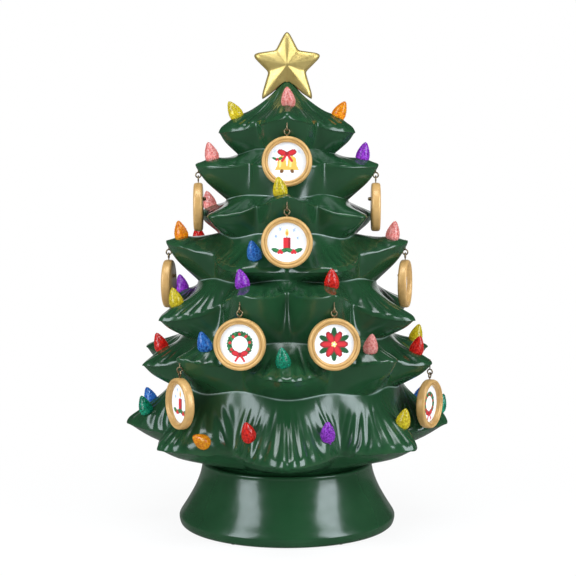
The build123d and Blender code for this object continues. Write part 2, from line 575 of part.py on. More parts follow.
diffuser_start = post_top - DIFFUSER_GRIP
diffuser_shoulder = post_top + DIFFUSER_HEIGHT - DIFFUSER_RADIUS
with BuildPart() as lamp_diffuser:
    with BuildSketch(Plane.XZ):
        with BuildLine():
            inner_radius = DIFFUSER_RADIUS - DIFFUSER_WALL
            Polyline((0, diffuser_shoulder + inner_radius), (0, diffuser_shoulder + DIFFUSER_RADIUS))
            RadiusArc((0, diffuser_shoulder + DIFFUSER_RADIUS), (DIFFUSER_RADIUS, diffuser_shoulder),
                      DIFFUSER_RADIUS)
            Polyline((DIFFUSER_RADIUS, diffuser_shoulder), (DIFFUSER_RADIUS, diffuser_start),
                     (inner_radius, diffuser_start), (inner_radius, diffuser_shoulder))
            RadiusArc((inner_radius, diffuser_shoulder), (0, diffuser_shoulder + inner_radius),
                      -inner_radius)
        make_face()
    revolve(axis=Axis.Z)
named["lamp_diffuser"] = lamp_diffuser

# Battery case under the deck, with sliding door, cells, contacts and switch
cell_axis = DECK_BOTTOM - CASE_WALL - FIT_CLEARANCE - CELL_RADIUS
door_top = cell_axis - CELL_RADIUS - DOOR_CLEARANCE
door_bottom = door_top - DOOR_THICKNESS
case_bottom = door_bottom - DOOR_CLEARANCE - DOOR_LIP
inner_length = 2 * case_half_length - 2 * CASE_WALL
switch_y = case_half_width + SWITCH_WIDTH / 2
switch_floor = case_bottom + CASE_WALL
switch_x = -SWITCH_TRAVEL / 2
with BuildPart() as battery_case:
    with BuildSketch(Plane.XY.offset(DECK_BOTTOM)):
        Rectangle(2 * case_half_length, 2 * case_half_width)
    extrude(amount=case_bottom - DECK_BOTTOM)
    with BuildSketch(Plane.XY.offset(case_bottom)):
        with Locations((0, switch_y + CASE_WALL / 2)):
            Rectangle(SWITCH_LENGTH + 2 * CASE_WALL, SWITCH_WIDTH + CASE_WALL)
    extrude(amount=DECK_BOTTOM - case_bottom)
    with BuildSketch(Plane.XY.offset(DECK_BOTTOM)):
        with Locations(*screw_places):
            Circle(SCREW_EAR_RADIUS)
        with Locations(*[(sx - math.copysign(SCREW_EAR_RADIUS / 2, sx), sy) for sx, sy in screw_places]):
            Rectangle(SCREW_EAR_RADIUS, 2 * SCREW_EAR_RADIUS)
    extrude(amount=-SCREW_EAR_THICKNESS)
    with BuildSketch(Plane.XY.offset(DECK_BOTTOM)):
        with Locations(*screw_places):
            Circle(SCREW_RADIUS + FIT_CLEARANCE)
    extrude(amount=-SCREW_EAR_THICKNESS, mode=Mode.SUBTRACT)
    with BuildSketch(Plane.XY.offset(DECK_BOTTOM - CASE_WALL)):
        Rectangle(inner_length, cells_width)
    extrude(amount=case_bottom - DECK_BOTTOM - OVERRUN, mode=Mode.SUBTRACT)
    with BuildSketch(Plane.XY.offset(door_bottom - DOOR_CLEARANCE)):
        with Locations((CASE_WALL / 2 + OVERRUN / 2, 0)):
            Rectangle(inner_length + CASE_WALL + OVERRUN, cells_width + 2 * DOOR_TONGUE)
    extrude(amount=DOOR_THICKNESS + 2 * DOOR_CLEARANCE, mode=Mode.SUBTRACT)
    with BuildSketch(Plane.XY.offset(case_bottom)):
        with Locations((case_half_length, 0)):
            Rectangle(2 * CASE_WALL + OVERRUN, cells_width)
    extrude(amount=door_top - case_bottom, mode=Mode.SUBTRACT)
    with BuildSketch(Plane.XY.offset(switch_floor)):
        with Locations((0, switch_y)):
            Rectangle(SWITCH_LENGTH, SWITCH_WIDTH)
    extrude(amount=SWITCH_HOUSING_HEIGHT, mode=Mode.SUBTRACT)
    with BuildSketch(Plane.XY.offset(case_bottom)):
        with Locations((0, switch_y)):
            Rectangle(SWITCH_KNOB_LENGTH + SWITCH_TRAVEL + 2 * DOOR_CLEARANCE,
                      SWITCH_KNOB_WIDTH + 2 * DOOR_CLEARANCE)
    extrude(amount=CASE_WALL, mode=Mode.SUBTRACT)
    with BuildSketch(Plane.XY.offset(DECK_BOTTOM)):
        with Locations((-LEAD_SPACING / 2, 0), (LEAD_SPACING / 2, 0)):
            Circle(LEAD_RADIUS + FIT_CLEARANCE)
    extrude(amount=-CASE_WALL, mode=Mode.SUBTRACT)
named["battery_case"] = battery_case

with BuildPart() as battery_door:
    with BuildSketch(Plane.XY.offset(door_bottom)):
        with Locations((CASE_WALL / 2, 0)):
            Rectangle(inner_length + CASE_WALL - 2 * DOOR_CLEARANCE,
                      cells_width + 2 * DOOR_TONGUE - 2 * DOOR_CLEARANCE)
    extrude(amount=DOOR_THICKNESS)
    with BuildSketch(Plane.XY.offset(door_bottom)):
        with Locations(((inner_length - DOOR_GRIP_LENGTH) / 2, 0)):
            with GridLocations(DOOR_GRIP_PITCH, 0, DOOR_GRIP_COUNT, 1):
                Rectangle(DOOR_GRIP_PITCH / 2, DOOR_GRIP_LENGTH)
    extrude(amount=DOOR_GRIP_DEPTH, mode=Mode.SUBTRACT)
named["battery_door"] = battery_door

cell_rows = [(place - (CELL_COUNT - 1) / 2) * (2 * CELL_RADIUS + CELL_GAP) for place in range(CELL_COUNT)]
cell_half = (CELL_LENGTH + CELL_NUB_LENGTH) / 2
with BuildPart() as batteries:
    for place, row in enumerate(cell_rows):
        way = 1 if place % 2 == 0 else -1
        with BuildSketch(Plane(origin=(-way * cell_half, row, cell_axis), z_dir=(way, 0, 0))):
            Circle(CELL_RADIUS)
        extrude(amount=CELL_LENGTH)
        nub_start = (way * (cell_half - CELL_NUB_LENGTH), row, cell_axis)
        with BuildSketch(Plane(origin=nub_start, z_dir=(way, 0, 0))):
            Circle(CELL_NUB_RADIUS)
        extrude(amount=CELL_NUB_LENGTH)
named["batteries"] = batteries

contact_face = inner_length / 2
with BuildPart() as battery_contacts:
    for place, row in enumerate(cell_rows):
        way = 1 if place % 2 == 0 else -1
        for end in (-1, 1):
            wall = Plane(origin=(end * contact_face, row, cell_axis), z_dir=(-end, 0, 0))
            with BuildSketch(wall):
                Rectangle(CONTACT_WIDTH, CONTACT_WIDTH)
            extrude(amount=CONTACT_THICKNESS)
            with BuildSketch(wall.offset(CONTACT_THICKNESS)):
                Circle(CONTACT_BUTTON_RADIUS if end == way else CONTACT_SPRING_RADIUS)
            extrude(amount=CASE_END_ROOM - CONTACT_THICKNESS)
named["battery_contacts"] = battery_contacts

with BuildPart() as switch_slider:
    with BuildSketch(Plane.XY.offset(switch_floor + FIT_CLEARANCE)):
        with Locations((switch_x, switch_y)):
            Rectangle(SWITCH_PLATE_LENGTH, SWITCH_WIDTH - 2 * DOOR_CLEARANCE)
    extrude(amount=SWITCH_PLATE_THICKNESS)
    with BuildSketch(Plane.XY.offset(case_bottom - SWITCH_KNOB_PROUD)):
        with Locations((switch_x, switch_y)):
            Rectangle(SWITCH_KNOB_LENGTH, SWITCH_KNOB_WIDTH)
    extrude(amount=SWITCH_KNOB_PROUD + CASE_WALL + FIT_CLEARANCE)
named["switch_slider"] = switch_slider

screw_top = SEAT_HEIGHT + HOLDER_FLANGE
ear_bottom = DECK_BOTTOM - SCREW_EAR_THICKNESS
with BuildPart() as case_screws:
    with BuildSketch(Plane.XY.offset(ear_bottom)):
        with Locations(*screw_places):
            Circle(SCREW_RADIUS)
    extrude(amount=screw_top - ear_bottom)
    with BuildSketch(Plane.XY.offset(ear_bottom)):
        with Locations(*screw_places):
            Circle(SCREW_HEAD_RADIUS)
    extrude(amount=-SCREW_HEAD_HEIGHT)
    with BuildSketch(Plane.XY.offset(ear_bottom - SCREW_HEAD_HEIGHT)):
        with Locations(*screw_places):
            RegularPolygon(SCREW_RECESS_RADIUS, 6)
    extrude(amount=SCREW_RECESS_DEPTH, mode=Mode.SUBTRACT)
named["case_screws"] = case_screws

with BuildPart() as lamp_leads:
    with BuildSketch(Plane.XY.offset(DECK_BOTTOM - CASE_WALL)):
        with Locations((-LEAD_SPACING / 2, 0), (LEAD_SPACING / 2, 0)):
            Circle(LEAD_RADIUS)
    extrude(amount=post_top - DECK_BOTTOM + CASE_WALL)
named["lamp_leads"] = lamp_leads

for name, builder in named.items():
    builder.part.label = name
    export_step(builder.part, "parts/" + name + ".step")
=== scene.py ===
"""Looks of the lighted ceramic tree: carved glaze, light pegs, star, ornaments and the studio."""

import json
import math

import bmesh
import bpy
import numpy as np
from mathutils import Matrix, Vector, noise


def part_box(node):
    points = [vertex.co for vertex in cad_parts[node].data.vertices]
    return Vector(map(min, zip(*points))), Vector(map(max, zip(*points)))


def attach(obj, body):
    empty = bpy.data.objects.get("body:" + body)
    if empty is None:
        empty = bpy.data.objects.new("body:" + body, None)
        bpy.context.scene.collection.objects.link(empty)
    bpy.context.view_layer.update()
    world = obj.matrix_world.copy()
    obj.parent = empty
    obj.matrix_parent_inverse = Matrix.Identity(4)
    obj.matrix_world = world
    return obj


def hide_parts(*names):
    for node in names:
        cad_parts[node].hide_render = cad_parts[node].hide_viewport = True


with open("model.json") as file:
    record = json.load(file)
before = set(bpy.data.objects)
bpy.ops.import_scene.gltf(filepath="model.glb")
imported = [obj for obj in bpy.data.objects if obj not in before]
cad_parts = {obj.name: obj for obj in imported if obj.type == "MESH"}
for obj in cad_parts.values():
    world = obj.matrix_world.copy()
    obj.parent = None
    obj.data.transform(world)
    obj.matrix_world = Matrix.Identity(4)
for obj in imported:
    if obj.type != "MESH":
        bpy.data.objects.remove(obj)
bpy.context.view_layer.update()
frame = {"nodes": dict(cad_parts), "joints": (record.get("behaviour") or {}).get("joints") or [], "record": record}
nodes = frame["nodes"]

# Tree shell, in metres, with the same tiers as the solids
BASE_HEIGHT = 0.052
TREE_HEIGHT = 0.309
TREE_RADIUS = 0.133
WALL = 0.005
TIP_WALL = 0.012
COLLAR_RADIUS = 0.0655
COLLAR_RISE = 0.002
REBATE_DEPTH = 0.005
SEAT_HEIGHT = BASE_HEIGHT - REBATE_DEPTH
PEAK = BASE_HEIGHT + TREE_HEIGHT
PEAK_FLAT_RADIUS = 0.0046
PEAK_SOLID = 0.015
VALLEY_RISE = 0.005  # the solid's rim rises by this between two tips
HOOD_RISE = -0.0020  # and the glaze droops to this level there
SOCKET_RADIUS = 0.00315
SOCKET_DEPTH = 0.0114
# Azimuth in degrees, reach and height of each branch, tier by tier from the top; the left mirrors the right
TIER_SHARES = [
    [(0, 0.440, 0.905), (72, 0.432, 0.876), (144, 0.430, 0.890)],
    [(0, 0.352, 0.790), (78, 0.565, 0.789), (144, 0.565, 0.790)],
    [(0, 0.655, 0.706), (48, 0.608, 0.658), (114, 0.600, 0.662), (180, 0.615, 0.690)],
    [(24, 0.665, 0.522), (84, 0.742, 0.590), (120, 0.742, 0.566), (150, 0.625, 0.525)],
    [(18, 0.865, 0.470), (60, 0.862, 0.398), (114, 0.850, 0.420), (150, 0.835, 0.430), (180, 0.850, 0.450)],
    [(0, 0.925, 0.275), (42, 0.925, 0.312), (72, 0.915, 0.278), (108, 0.955, 0.302), (150, 0.930, 0.288)],
    [(0, 0.985, 0.072), (48, 0.985, 0.090), (90, 1.000, 0.110), (138, 0.990, 0.098), (180, 0.985, 0.080)],
]
# Radius of the valleys of each tier, then radius and height of the crease under it
VALLEY_SHARES = [0.300, 0.342, 0.420, 0.522, 0.585, 0.715, 0.730]
CREASE_SHARES = [
    (0.270, 0.824), (0.338, 0.707), (0.414, 0.611), (0.519, 0.497), (0.632, 0.350), (0.692, 0.224),
]
# Steps out and down over a tier, back and down under it, and out and down in the hollow
TOP_STEP_SHARES = [(0.16, 0.25), (0.34, 0.45), (0.56, 0.64), (0.80, 0.79), (0.95, 0.89), (1.0, 1.0)]
UNDER_STEP_SHARES = [(0.06, 0.17), (0.36, 0.53)]
CAVITY_STEP_SHARES = [(0.34, 0.45), (0.70, 0.72)]
CAVITY_UNDER_SHARES = (0.5, 0.6)
LOBE_POWER = 1.15
AZIMUTH_STEPS = 768
ROWS_PER_STEP = 5
TIP_SOFTNESS_DEG = 1.7
TIP_FULLNESS = 0.97  # a branch counts as tip above this fullness
TIP_REGAIN = 2.0  # how much of the reach that softening takes a tip gets back
LIP_DROOP = 0.0034  # most that the rounded nose of a branch lies below its sharp outline
LIP_DROOP_SHARE = 0.8  # and the most of the lip's own height
LIP_FULLNESS = 0.45  # the nose is fully round from this fullness on
LIP_ROUND_SHARES = [(0.34, 0.0), (0.56, 0.14), (0.80, 0.46), (0.95, 0.78), (1.0, 1.0)]
CREASE_WAVE = 0.0065  # how far a branch runs down over the tier below it
CREASE_WAVE_LIMIT = 1.15
CREASE_SOFTNESS_DEG = 5.0
CREASE_WANDER = 0.35
CREASE_WANDER_RATE = 2.3

# Carved needles: depth of the deepest stroke, tier by tier, and spacing along the rim
NEEDLE_DEPTHS = [0.0008, 0.0003, 0.0003, 0.0004, 0.0009, 0.0013, 0.0018]
NEEDLE_PITCH = 0.0108
NEEDLE_CLOSENESS = (0.85, 0.4)  # least, and how much more, from branch to branch
NEEDLE_STRENGTH = (0.45, 0.55)  # least, and how much more, from stroke to stroke
NEEDLE_SHARPNESS = 1.25
NEEDLE_FAN = 0.58  # spacing at the neck as a share of that at the rim
NEEDLE_SWAY = 0.8
NEEDLE_SWAY_RATE = 0.45
NEEDLE_SWAY_TURN = 2.2
NEEDLE_LEAN = 0.15
NEEDLE_LATEST_START = 0.16  # as a share of the way from neck to rim, like the next three
NEEDLE_FADE_IN = 0.55
NEEDLE_FADE_UNDER = 0.20
LIP_BAND = 0.16
LIP_SMOOTHNESS = [0.85, 0.85, 0.85, 0.85, 0.85, 0.55, 0.65]  # how far the strokes fade at each tier's lip
VALLEY_BAND = 0.22  # share of half a branch over which the strokes fade to the valley
STROKES_APART = 40  # more strokes than any branch has, so that each has its own number
EDGE_BAND = 0.10  # where the glaze may run thin, to each side of the rim
# Width of the pale line painted along each crease as a highlight
PAINTED_CREASE_HIGHLIGHT_WIDTH = 0.0007
CREASE_ROW_SHARES = [0.0, 0.15, 0.35, 0.65]
SEAT_CALM = 0.0085  # the strokes fade this close to a light peg
SEAT_NEAR = 0.006  # a light peg belongs to a tier this close to it
SEAT_MOUND = 0.0009  # the skin swells this much round a light peg
# Tier and azimuth of each branch with a wire eye, and how the lip keeps its height there
EYE_PLACES = [
    (0, 0), (2, 0), (4, -18), (4, 18), (1, -78), (1, 78), (3, -84), (3, 84), (5, -42), (5, 72), (2, 180),
    (4, 180),
]
EYE_LIP_DEG = 3.5
EYE_LIP_SHARE = 0.6

# Light pegs
BULB_RADIUS = 0.0058
BULB_HEIGHT = 0.0155
BULB_PEG_RADIUS = 0.0027
BULB_PEG_LENGTH = 0.009
BULB_PEG_CHAMFER = 0.0006
BULB_TIP_RADIUS = 0.0002
BULB_OUTLINE_SHARES = [
    (0.86, 0.0), (0.97, 0.12), (1.0, 0.27), (0.92, 0.43), (0.80, 0.57), (0.63, 0.71), (0.44, 0.84),
    (0.25, 0.94), (0.0, 1.0),
]
BULB_OUTLINE_STEPS = 4
PEBBLE_DEPTH = 0.00028
PEBBLES_ROUND = 13
PEBBLE_ROWS = 9
PEBBLE_STEPS = 4
PEBBLED_RADIUS_SHARE = 0.2  # the narrower tip is plain
PEG_TAPER = 0.8

# Ornaments and star
PICTURE_RADIUS = 0.0149
PICTURE_FRONT = -0.0004
PICTURE_THICKNESS = 0.0010
STAR_CENTRE = 0.3745
STAR_REACHES = [0.0280, 0.0288, 0.0345, 0.0345, 0.0288]
STAR_NOTCH_RADIUS = 0.0145
STAR_HALF_DEPTH = 0.0086
STAR_RIM_HALF_DEPTH = 0.0030
STAR_STEPS = 240
STAR_ROWS = 16
STAR_OUTLINE_ROUNDS = 14
STAR_SKIN_ROUNDS = 6
STAR_SKIN_FACTOR = 0.35
STAR_RIDGE_POWER = 0.92
STAR_ROUND_SHARE = 0.90  # from here on the front rounds off to the rim
STAR_EDGE_SHARE = 0.25
STAR_MIDDLE = (0.004, 0.00025)  # share of the reach, and how far its ring lies below the peak of the ridges
STAR_PEG_RADIUS = 0.003
STAR_PEG_DEPTH = 0.011
STAR_PEG_CHAMFER = 0.0008
STAR_PEG_ROOT = 0.004
STAR_PLAY = 0.0004
STAR_HOLLOW_REACH_SHARE = 0.40
STAR_HOLLOW_DROP_SHARE = 0.105


def new_object(name, data):
    obj = bpy.data.objects.new(name, data)
    bpy.context.scene.collection.objects.link(obj)
    return obj


def link(name, mesh, material, body, slot, *replaced):
    """Object of a finished mesh on a body, standing for the named solids."""
    mesh.materials.append(material)
    mesh.update()
    obj = new_object(name, mesh)
    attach(obj, body)
    if replaced:
        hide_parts(*replaced)
    return obj


def smooth(mesh):
    mesh.polygons.foreach_set("use_smooth", [True] * len(mesh.polygons))


def opened(*meshes):
    """One bmesh of several meshes."""
    build = bmesh.new()
    for mesh in meshes:
        build.from_mesh(mesh)
    return build


def write_back(build, mesh):
    """Finish a bmesh into a smooth mesh."""
    build.to_mesh(mesh)
    build.free()
    smooth(mesh)
    return mesh


def grid_mesh(name, rings, capped=True):
    """Skin through rings of points, each ring an array of the same length, with caps at its ends."""
    rings = np.asarray(rings)
    rows, cols, _ = rings.shape
    row = np.arange(rows - 1)[:, None] * cols
    col = np.arange(cols)[None, :]
    after = (col + 1) % cols
    quads = np.stack([row + col, row + after, row + cols + after, row + cols + col], axis=-1)
    faces = quads.reshape(-1, 4).tolist()
    if capped:
        faces += [list(range(cols))[::-1], list(range((rows - 1) * cols, rows * cols))]
    mesh = bpy.data.meshes.new(name)
    mesh.from_pydata(rings.reshape(-1, 3).tolist(), [], faces)
    smooth(mesh)
    return mesh


def add_value(mesh, name, values):
    """Layer with one number at each point."""
    layer = mesh.attributes.new(name, "FLOAT", "POINT")
    layer.data.foreach_set("value", np.asarray(values, dtype=np.float32))


def catmull(points, steps):
    """Smooth path through rows of points, with a number of steps in each span."""
    points = np.asarray(points)
    first = 2 * points[0] - points[1]
    last = 2 * points[-1] - points[-2]
    padded = np.concatenate([[first], points, [last]])
    out = []
    for span in range(len(points) - 1):
        p0, p1, p2, p3 = padded[span:span + 4]
        for step in range(steps):
            t = step / steps
            out.append(0.5 * (2 * p1 + (p2 - p0) * t + (2 * p0 - 5 * p1 + 4 * p2 - p3) * t ** 2
                              + (3 * p1 - p0 - 3 * p2 + p3) * t ** 3))
    out.append(points[-1])
    return np.array(out)


# Light pegs, measured on their solids

END_BAND = 1e-5


def islands(node):
    """Separate closed pieces of a solid's mesh as arrays of points."""
    mesh = nodes[node].data
    points = np.zeros(len(mesh.vertices) * 3)
    mesh.vertices.foreach_get("co", points)
    points = points.reshape(-1, 3)
    keys, index = np.unique(np.round(points, 6), axis=0, return_inverse=True)
    index = index.reshape(-1)
    parent = list(range(len(keys)))

    def root(k):
        while parent[k] != k:
            parent[k] = parent[parent[k]]
            k = parent[k]
        return k

    for edge in mesh.edges:
        a, b = root(index[edge.vertices[0]]), root(index[edge.vertices[1]])
        parent[a] = b
    groups = {}
    for k in range(len(keys)):
        groups.setdefault(root(k), []).append(k)
    return [keys[group] for _, group in sorted(groups.items())]


def bulb_axis(points):
    """Seat and direction of a light peg from its solid: its tip and the middle of the peg's end."""
    spread = points - points.mean(axis=0)
    _, vectors = np.linalg.eigh(spread.T @ spread)
    way = vectors[:, -1]
    along = spread @ way
    ends = [points[along > along.max() - END_BAND], points[along < along.min() + END_BAND]]
    ends.sort(key=lambda end: np.ptp(end, axis=0).max())
    tip, peg = ends[0].mean(axis=0), ends[1].mean(axis=0)
    direction = (tip - peg) / np.linalg.norm(tip - peg)
    return tip - direction * BULB_HEIGHT, direction


# Dark and light of the specks of each colour
BULB_COLOURS = {
    "red": ((0.42, 0.004, 0.005), (0.95, 0.035, 0.02)),
    "orange": ((0.70, 0.17, 0.004), (1.0, 0.42, 0.012)),
    "yellow": ((0.50, 0.37, 0.006), (0.86, 0.71, 0.035)),
    "green": ((0.002, 0.13, 0.07), (0.010, 0.38, 0.22)),
    "blue": ((0.010, 0.075, 0.36), (0.06, 0.29, 0.80)),
    "purple": ((0.16, 0.015, 0.33), (0.46, 0.07, 0.78)),
    "pink": ((0.72, 0.18, 0.16), (1.0, 0.46, 0.42)),
}
light_pegs = {colour: [bulb_axis(points) for points in islands("bulbs_" + colour)] for colour in BULB_COLOURS}
peg_seats = [seat for pegs in light_pegs.values() for seat, _ in pegs]

# Tree shell

azimuths = np.linspace(-180, 180, AZIMUTH_STEPS, endpoint=False)
turn = np.radians(azimuths)


def ring_points(radius, height):
    """Ring of points from radius and height at every azimuth; zero degrees is the front."""
    radius = np.broadcast_to(radius, turn.shape)
    height = np.broadcast_to(height, turn.shape)
    return np.stack([radius * np.sin(turn), -radius * np.cos(turn), height], axis=-1)


def skin(path):
    return np.stack([ring_points(radius, height) for radius, height in path])


def all_round(branches):
    """Branches of a tier on both sides, in order of azimuth."""
    mirrored = [(-azimuth, reach, height) for azimuth, reach, height in branches if 0 < azimuth < 180]
    return sorted(branches + mirrored)


def soften(values, degrees=TIP_SOFTNESS_DEG):
    """Round the tips and valleys of a closed outline."""
    sigma = degrees * AZIMUTH_STEPS / 360
    reach = int(3 * sigma) + 1
    weights = np.exp(-0.5 * (np.arange(-reach, reach + 1) / sigma) ** 2)
    weights /= weights.sum()
    padded = np.concatenate([values[-reach:], values, values[:reach]])
    return np.convolve(padded, weights, mode="valid")


def rim_of(index, rise=HOOD_RISE):
    """Fullness, reach, height, place across the branch, its width and number at every azimuth of a tier."""
    ring = all_round(TIER_SHARES[index])
    tips = np.array([branch[0] for branch in ring], dtype=float)
    here = (np.searchsorted(tips, azimuths, side="right") - 1) % len(ring)
    after = (here + 1) % len(ring)
    span = (tips[after] - tips[here]) % 360
    step = ((azimuths - tips[here]) % 360) / span
    blend = (1 - np.cos(math.pi * step)) / 2
    fullness = 1 - (1 - np.abs(1 - 2 * step)) ** LOBE_POWER
    reaches = np.array([branch[1] for branch in ring])
    heights = np.array([branch[2] for branch in ring])
    reach = (reaches[here] + blend * (reaches[after] - reaches[here])) * TREE_RADIUS
    height = heights[here] + blend * (heights[after] - heights[here])
    height = BASE_HEIGHT + height * TREE_HEIGHT + rise * (1 - fullness)
    across = np.where(step < 0.5, step * span, (step - 1) * span)
    branch = np.where(step < 0.5, here, after)
    return fullness, reach, height, across, span, branch


def neck_and_foot(index):
    """Radius and height of the circles where a tier starts and ends."""
    circles = [(PEAK_FLAT_RADIUS, PEAK)]
    for radius, height in CREASE_SHARES:
        circles.append((radius * TREE_RADIUS, BASE_HEIGHT + height * TREE_HEIGHT))
    circles.append((COLLAR_RADIUS, BASE_HEIGHT + COLLAR_RISE))
    return circles[index], circles[index + 1]


def waved_crease(index):
    """Crease under a tier: lower and further out below each branch, on the slope of the tier below."""
    radius, height = neck_and_foot(index)[1]
    if index == len(TIER_SHARES) - 1:
        return np.full(AZIMUTH_STEPS, radius), np.full(AZIMUTH_STEPS, height)
    fullness, reach, rim = rim_of(index + 1)[:3]
    valley = VALLEY_SHARES[index + 1] * TREE_RADIUS
    out, down = TOP_STEP_SHARES[0]
    mean_radius = (valley + (reach - valley) * fullness).mean()
    slope = Vector((out * (mean_radius - radius), down * (rim.mean() - height)))
    slope.normalize()
    wander = noise_row(np.cos(turn) * CREASE_WANDER_RATE + 5.1 * index, 2.9)
    wander = wander + noise_row(np.sin(turn) * CREASE_WANDER_RATE + 3.3 * index, 7.7)
    wave = soften(rim_of(index)[0], CREASE_SOFTNESS_DEG) + CREASE_WANDER * wander
    slide = CREASE_WAVE * np.clip(wave, 0.0, CREASE_WAVE_LIMIT)
    return radius + slide * slope.x, height + slide * slope.y


def noise_row(values, seed):
    """Smooth noise at each value, another row of it for each seed."""
    return np.array([noise.noise(Vector((v, seed, 0.37 * seed))) for v in values])


def scatter(number, seed):
    """Repeatable share from 0 to 1 for each number."""
    value = np.sin(number * 12.9898 + seed * 78.233) * 43758.5453
    return value - np.floor(value)


def ease(value):
    """Soft step from 0 to 1."""
    value = np.clip(value, 0.0, 1.0)
    return value * value * (3 - 2 * value)


def needle_strokes(index, along, across, span, branch, pitch):
    """Depth share of the carved strokes: long soft flutes that run down each branch and over its lip."""
    offset = scatter(branch + 1.0, index + 0.5) - 0.5
    closeness = NEEDLE_CLOSENESS[0] + NEEDLE_CLOSENESS[1] * scatter(branch + 1.0, index + 9.5)
    from_valley = ease((1 - 2 * np.abs(across) / span) / VALLEY_BAND)
    sway = NEEDLE_SWAY * noise_row(across / pitch * NEEDLE_SWAY_RATE + branch * 3.7, 1.7 * index + 0.3)
    grooves = np.zeros((len(along), AZIMUTH_STEPS))
    for row, t in enumerate(along):
        on_top = min(t, 1.0)
        bend = sway * math.sin(NEEDLE_SWAY_TURN * t) + NEEDLE_LEAN * np.sign(across) * (1 - on_top) ** 2
        spread = NEEDLE_FAN + (1 - NEEDLE_FAN) * on_top
        place = across / pitch * closeness / spread + offset + bend
        number = np.floor(place + 0.5)
        own_number = number + STROKES_APART * branch
        strength = NEEDLE_STRENGTH[0] + NEEDLE_STRENGTH[1] * scatter(own_number, index + 2.5)
        start = NEEDLE_LATEST_START * scatter(own_number, index + 5.5)
        dip = np.cos(math.pi * (place - number)) ** 2
        fade_out = 1.0 if t <= 1 else max(1 - (t - 1) / NEEDLE_FADE_UNDER, 0.0)
        fade_out *= 1 - LIP_SMOOTHNESS[index] * math.exp(-((t - 1) / LIP_BAND) ** 2)
        fade_in = ease((t - start) / NEEDLE_FADE_IN)
        grooves[row] = dip ** NEEDLE_SHARPNESS * strength * fade_in * from_valley * fade_out
    return grooves


def tier_path(index, plain):
    """Rows of radius and height from neck to foot: as the solid has them, or softened and drooping."""
    fullness, reach, height = rim_of(index, VALLEY_RISE if plain else HOOD_RISE)[:3]
    valley = VALLEY_SHARES[index] * TREE_RADIUS
    radius = valley + (reach - valley) * fullness
    if plain:
        neck, foot = neck_and_foot(index)
        nose = 0
    else:
        neck = waved_crease(index - 1) if index else neck_and_foot(index)[0]
        foot = waved_crease(index)
        sharp = radius
        radius = soften(sharp)
        lost = soften(np.where(fullness > TIP_FULLNESS, sharp - radius, 0)).max()
        radius = np.minimum(radius + lost * fullness ** 3 * TIP_REGAIN, reach)
        height = soften(height)
        lip_height = UNDER_STEP_SHARES[0][1] * (height - foot[1])
        nose = np.minimum(LIP_DROOP, LIP_DROOP_SHARE * lip_height) * ease(fullness / LIP_FULLNESS)
        for eye in (azimuth for tier, azimuth in EYE_PLACES if tier == index):
            from_eye = (azimuths - eye + 180) % 360 - 180
            nose = nose * (1 - EYE_LIP_SHARE * np.exp(-(from_eye / EYE_LIP_DEG) ** 2))
    flat = np.ones(AZIMUTH_STEPS)
    path = [np.stack([flat * neck[0], flat * neck[1]])]
    for out, down in TOP_STEP_SHARES:
        droop = nose * np.interp(out, *zip(*LIP_ROUND_SHARES))
        level = neck[1] + down * (height - neck[1]) - droop
        path.append(np.stack([neck[0] + out * (radius - neck[0]), level]))
    for back, down in UNDER_STEP_SHARES:
        path.append(np.stack([radius + back * (foot[0] - radius), height + down * (foot[1] - height)]))
    path.append(np.stack([flat * foot[0], flat * foot[1]]))
    return catmull(path, ROWS_PER_STEP), radius


def outward_normals(points):
    """Normals of a skin of rings, row by row turned away from the axis."""
    around = np.roll(points, -1, axis=1) - np.roll(points, 1, axis=1)
    normals = np.cross(around, np.gradient(points, axis=0))
    normals /= np.maximum(np.linalg.norm(normals, axis=-1, keepdims=True), 1e-9)
    outward = np.einsum("ijk,ijk->ij", normals, points * [1, 1, 0])
    normals[outward.mean(axis=1) < 0] *= -1
    return normals


def height_over(seat, points, normals):
    """Height of a light peg's seat over a skin, and how far the nearest point of the skin is."""
    distance = ((points - seat) ** 2).sum(axis=-1)
    nearest = np.unravel_index(distance.argmin(), distance.shape)
    return (seat - points[nearest]) @ normals[nearest], math.sqrt(distance[nearest])


def seat_share(seat, points):
    """Nearness of each point to a light peg's seat, from 0 to 1."""
    return np.exp(-((points - seat) ** 2).sum(axis=-1) / SEAT_CALM ** 2)


def tier_rings(index):
    """Carved outside of a tier from neck to foot: points, groove depth, nearness to the rim, and nearness to the
    neck where a crease highlight is painted.
    """
    across, span, branch = rim_of(index)[3:]
    path, radius = tier_path(index, False)
    last = len(path) - 1
    rows = CREASE_ROW_SHARES + list(range(1, last)) + [last - share for share in CREASE_ROW_SHARES[::-1]]
    path = np.array([path[int(row)] + (row - int(row)) * (path[min(int(row) + 1, last)] - path[int(row)])
                     for row in rows])
    along = np.array(rows) / (len(TOP_STEP_SHARES) * ROWS_PER_STEP)
    points = skin(path)
    pitch = np.degrees(NEEDLE_PITCH / radius.mean())
    grooves = needle_strokes(index, along, across, span, branch, pitch)
    for seat in peg_seats:
        grooves *= 1 - seat_share(seat, points)
    normals = outward_normals(points)
    from_neck = np.linalg.norm(points - points[0], axis=-1)
    # Pale line painted along the neck crease as a highlight
    crease = np.exp(-(from_neck / PAINTED_CREASE_HIGHLIGHT_WIDTH) ** 2) * (index > 0)
    points = points - normals * (grooves * NEEDLE_DEPTHS[index])[..., None]
    solid = skin(tier_path(index, True)[0])
    solid_normals = outward_normals(solid)
    for seat in peg_seats:
        wanted, apart = height_over(seat, solid, solid_normals)
        if apart < SEAT_NEAR:
            lift = height_over(seat, points, normals)[0] - wanted + SEAT_MOUND
            points += normals * (lift * seat_share(seat, points))[..., None]
    edge = np.exp(-((along - 1.0) / EDGE_BAND) ** 2)[:, None] * np.ones(AZIMUTH_STEPS)
    return points, grooves, edge, crease


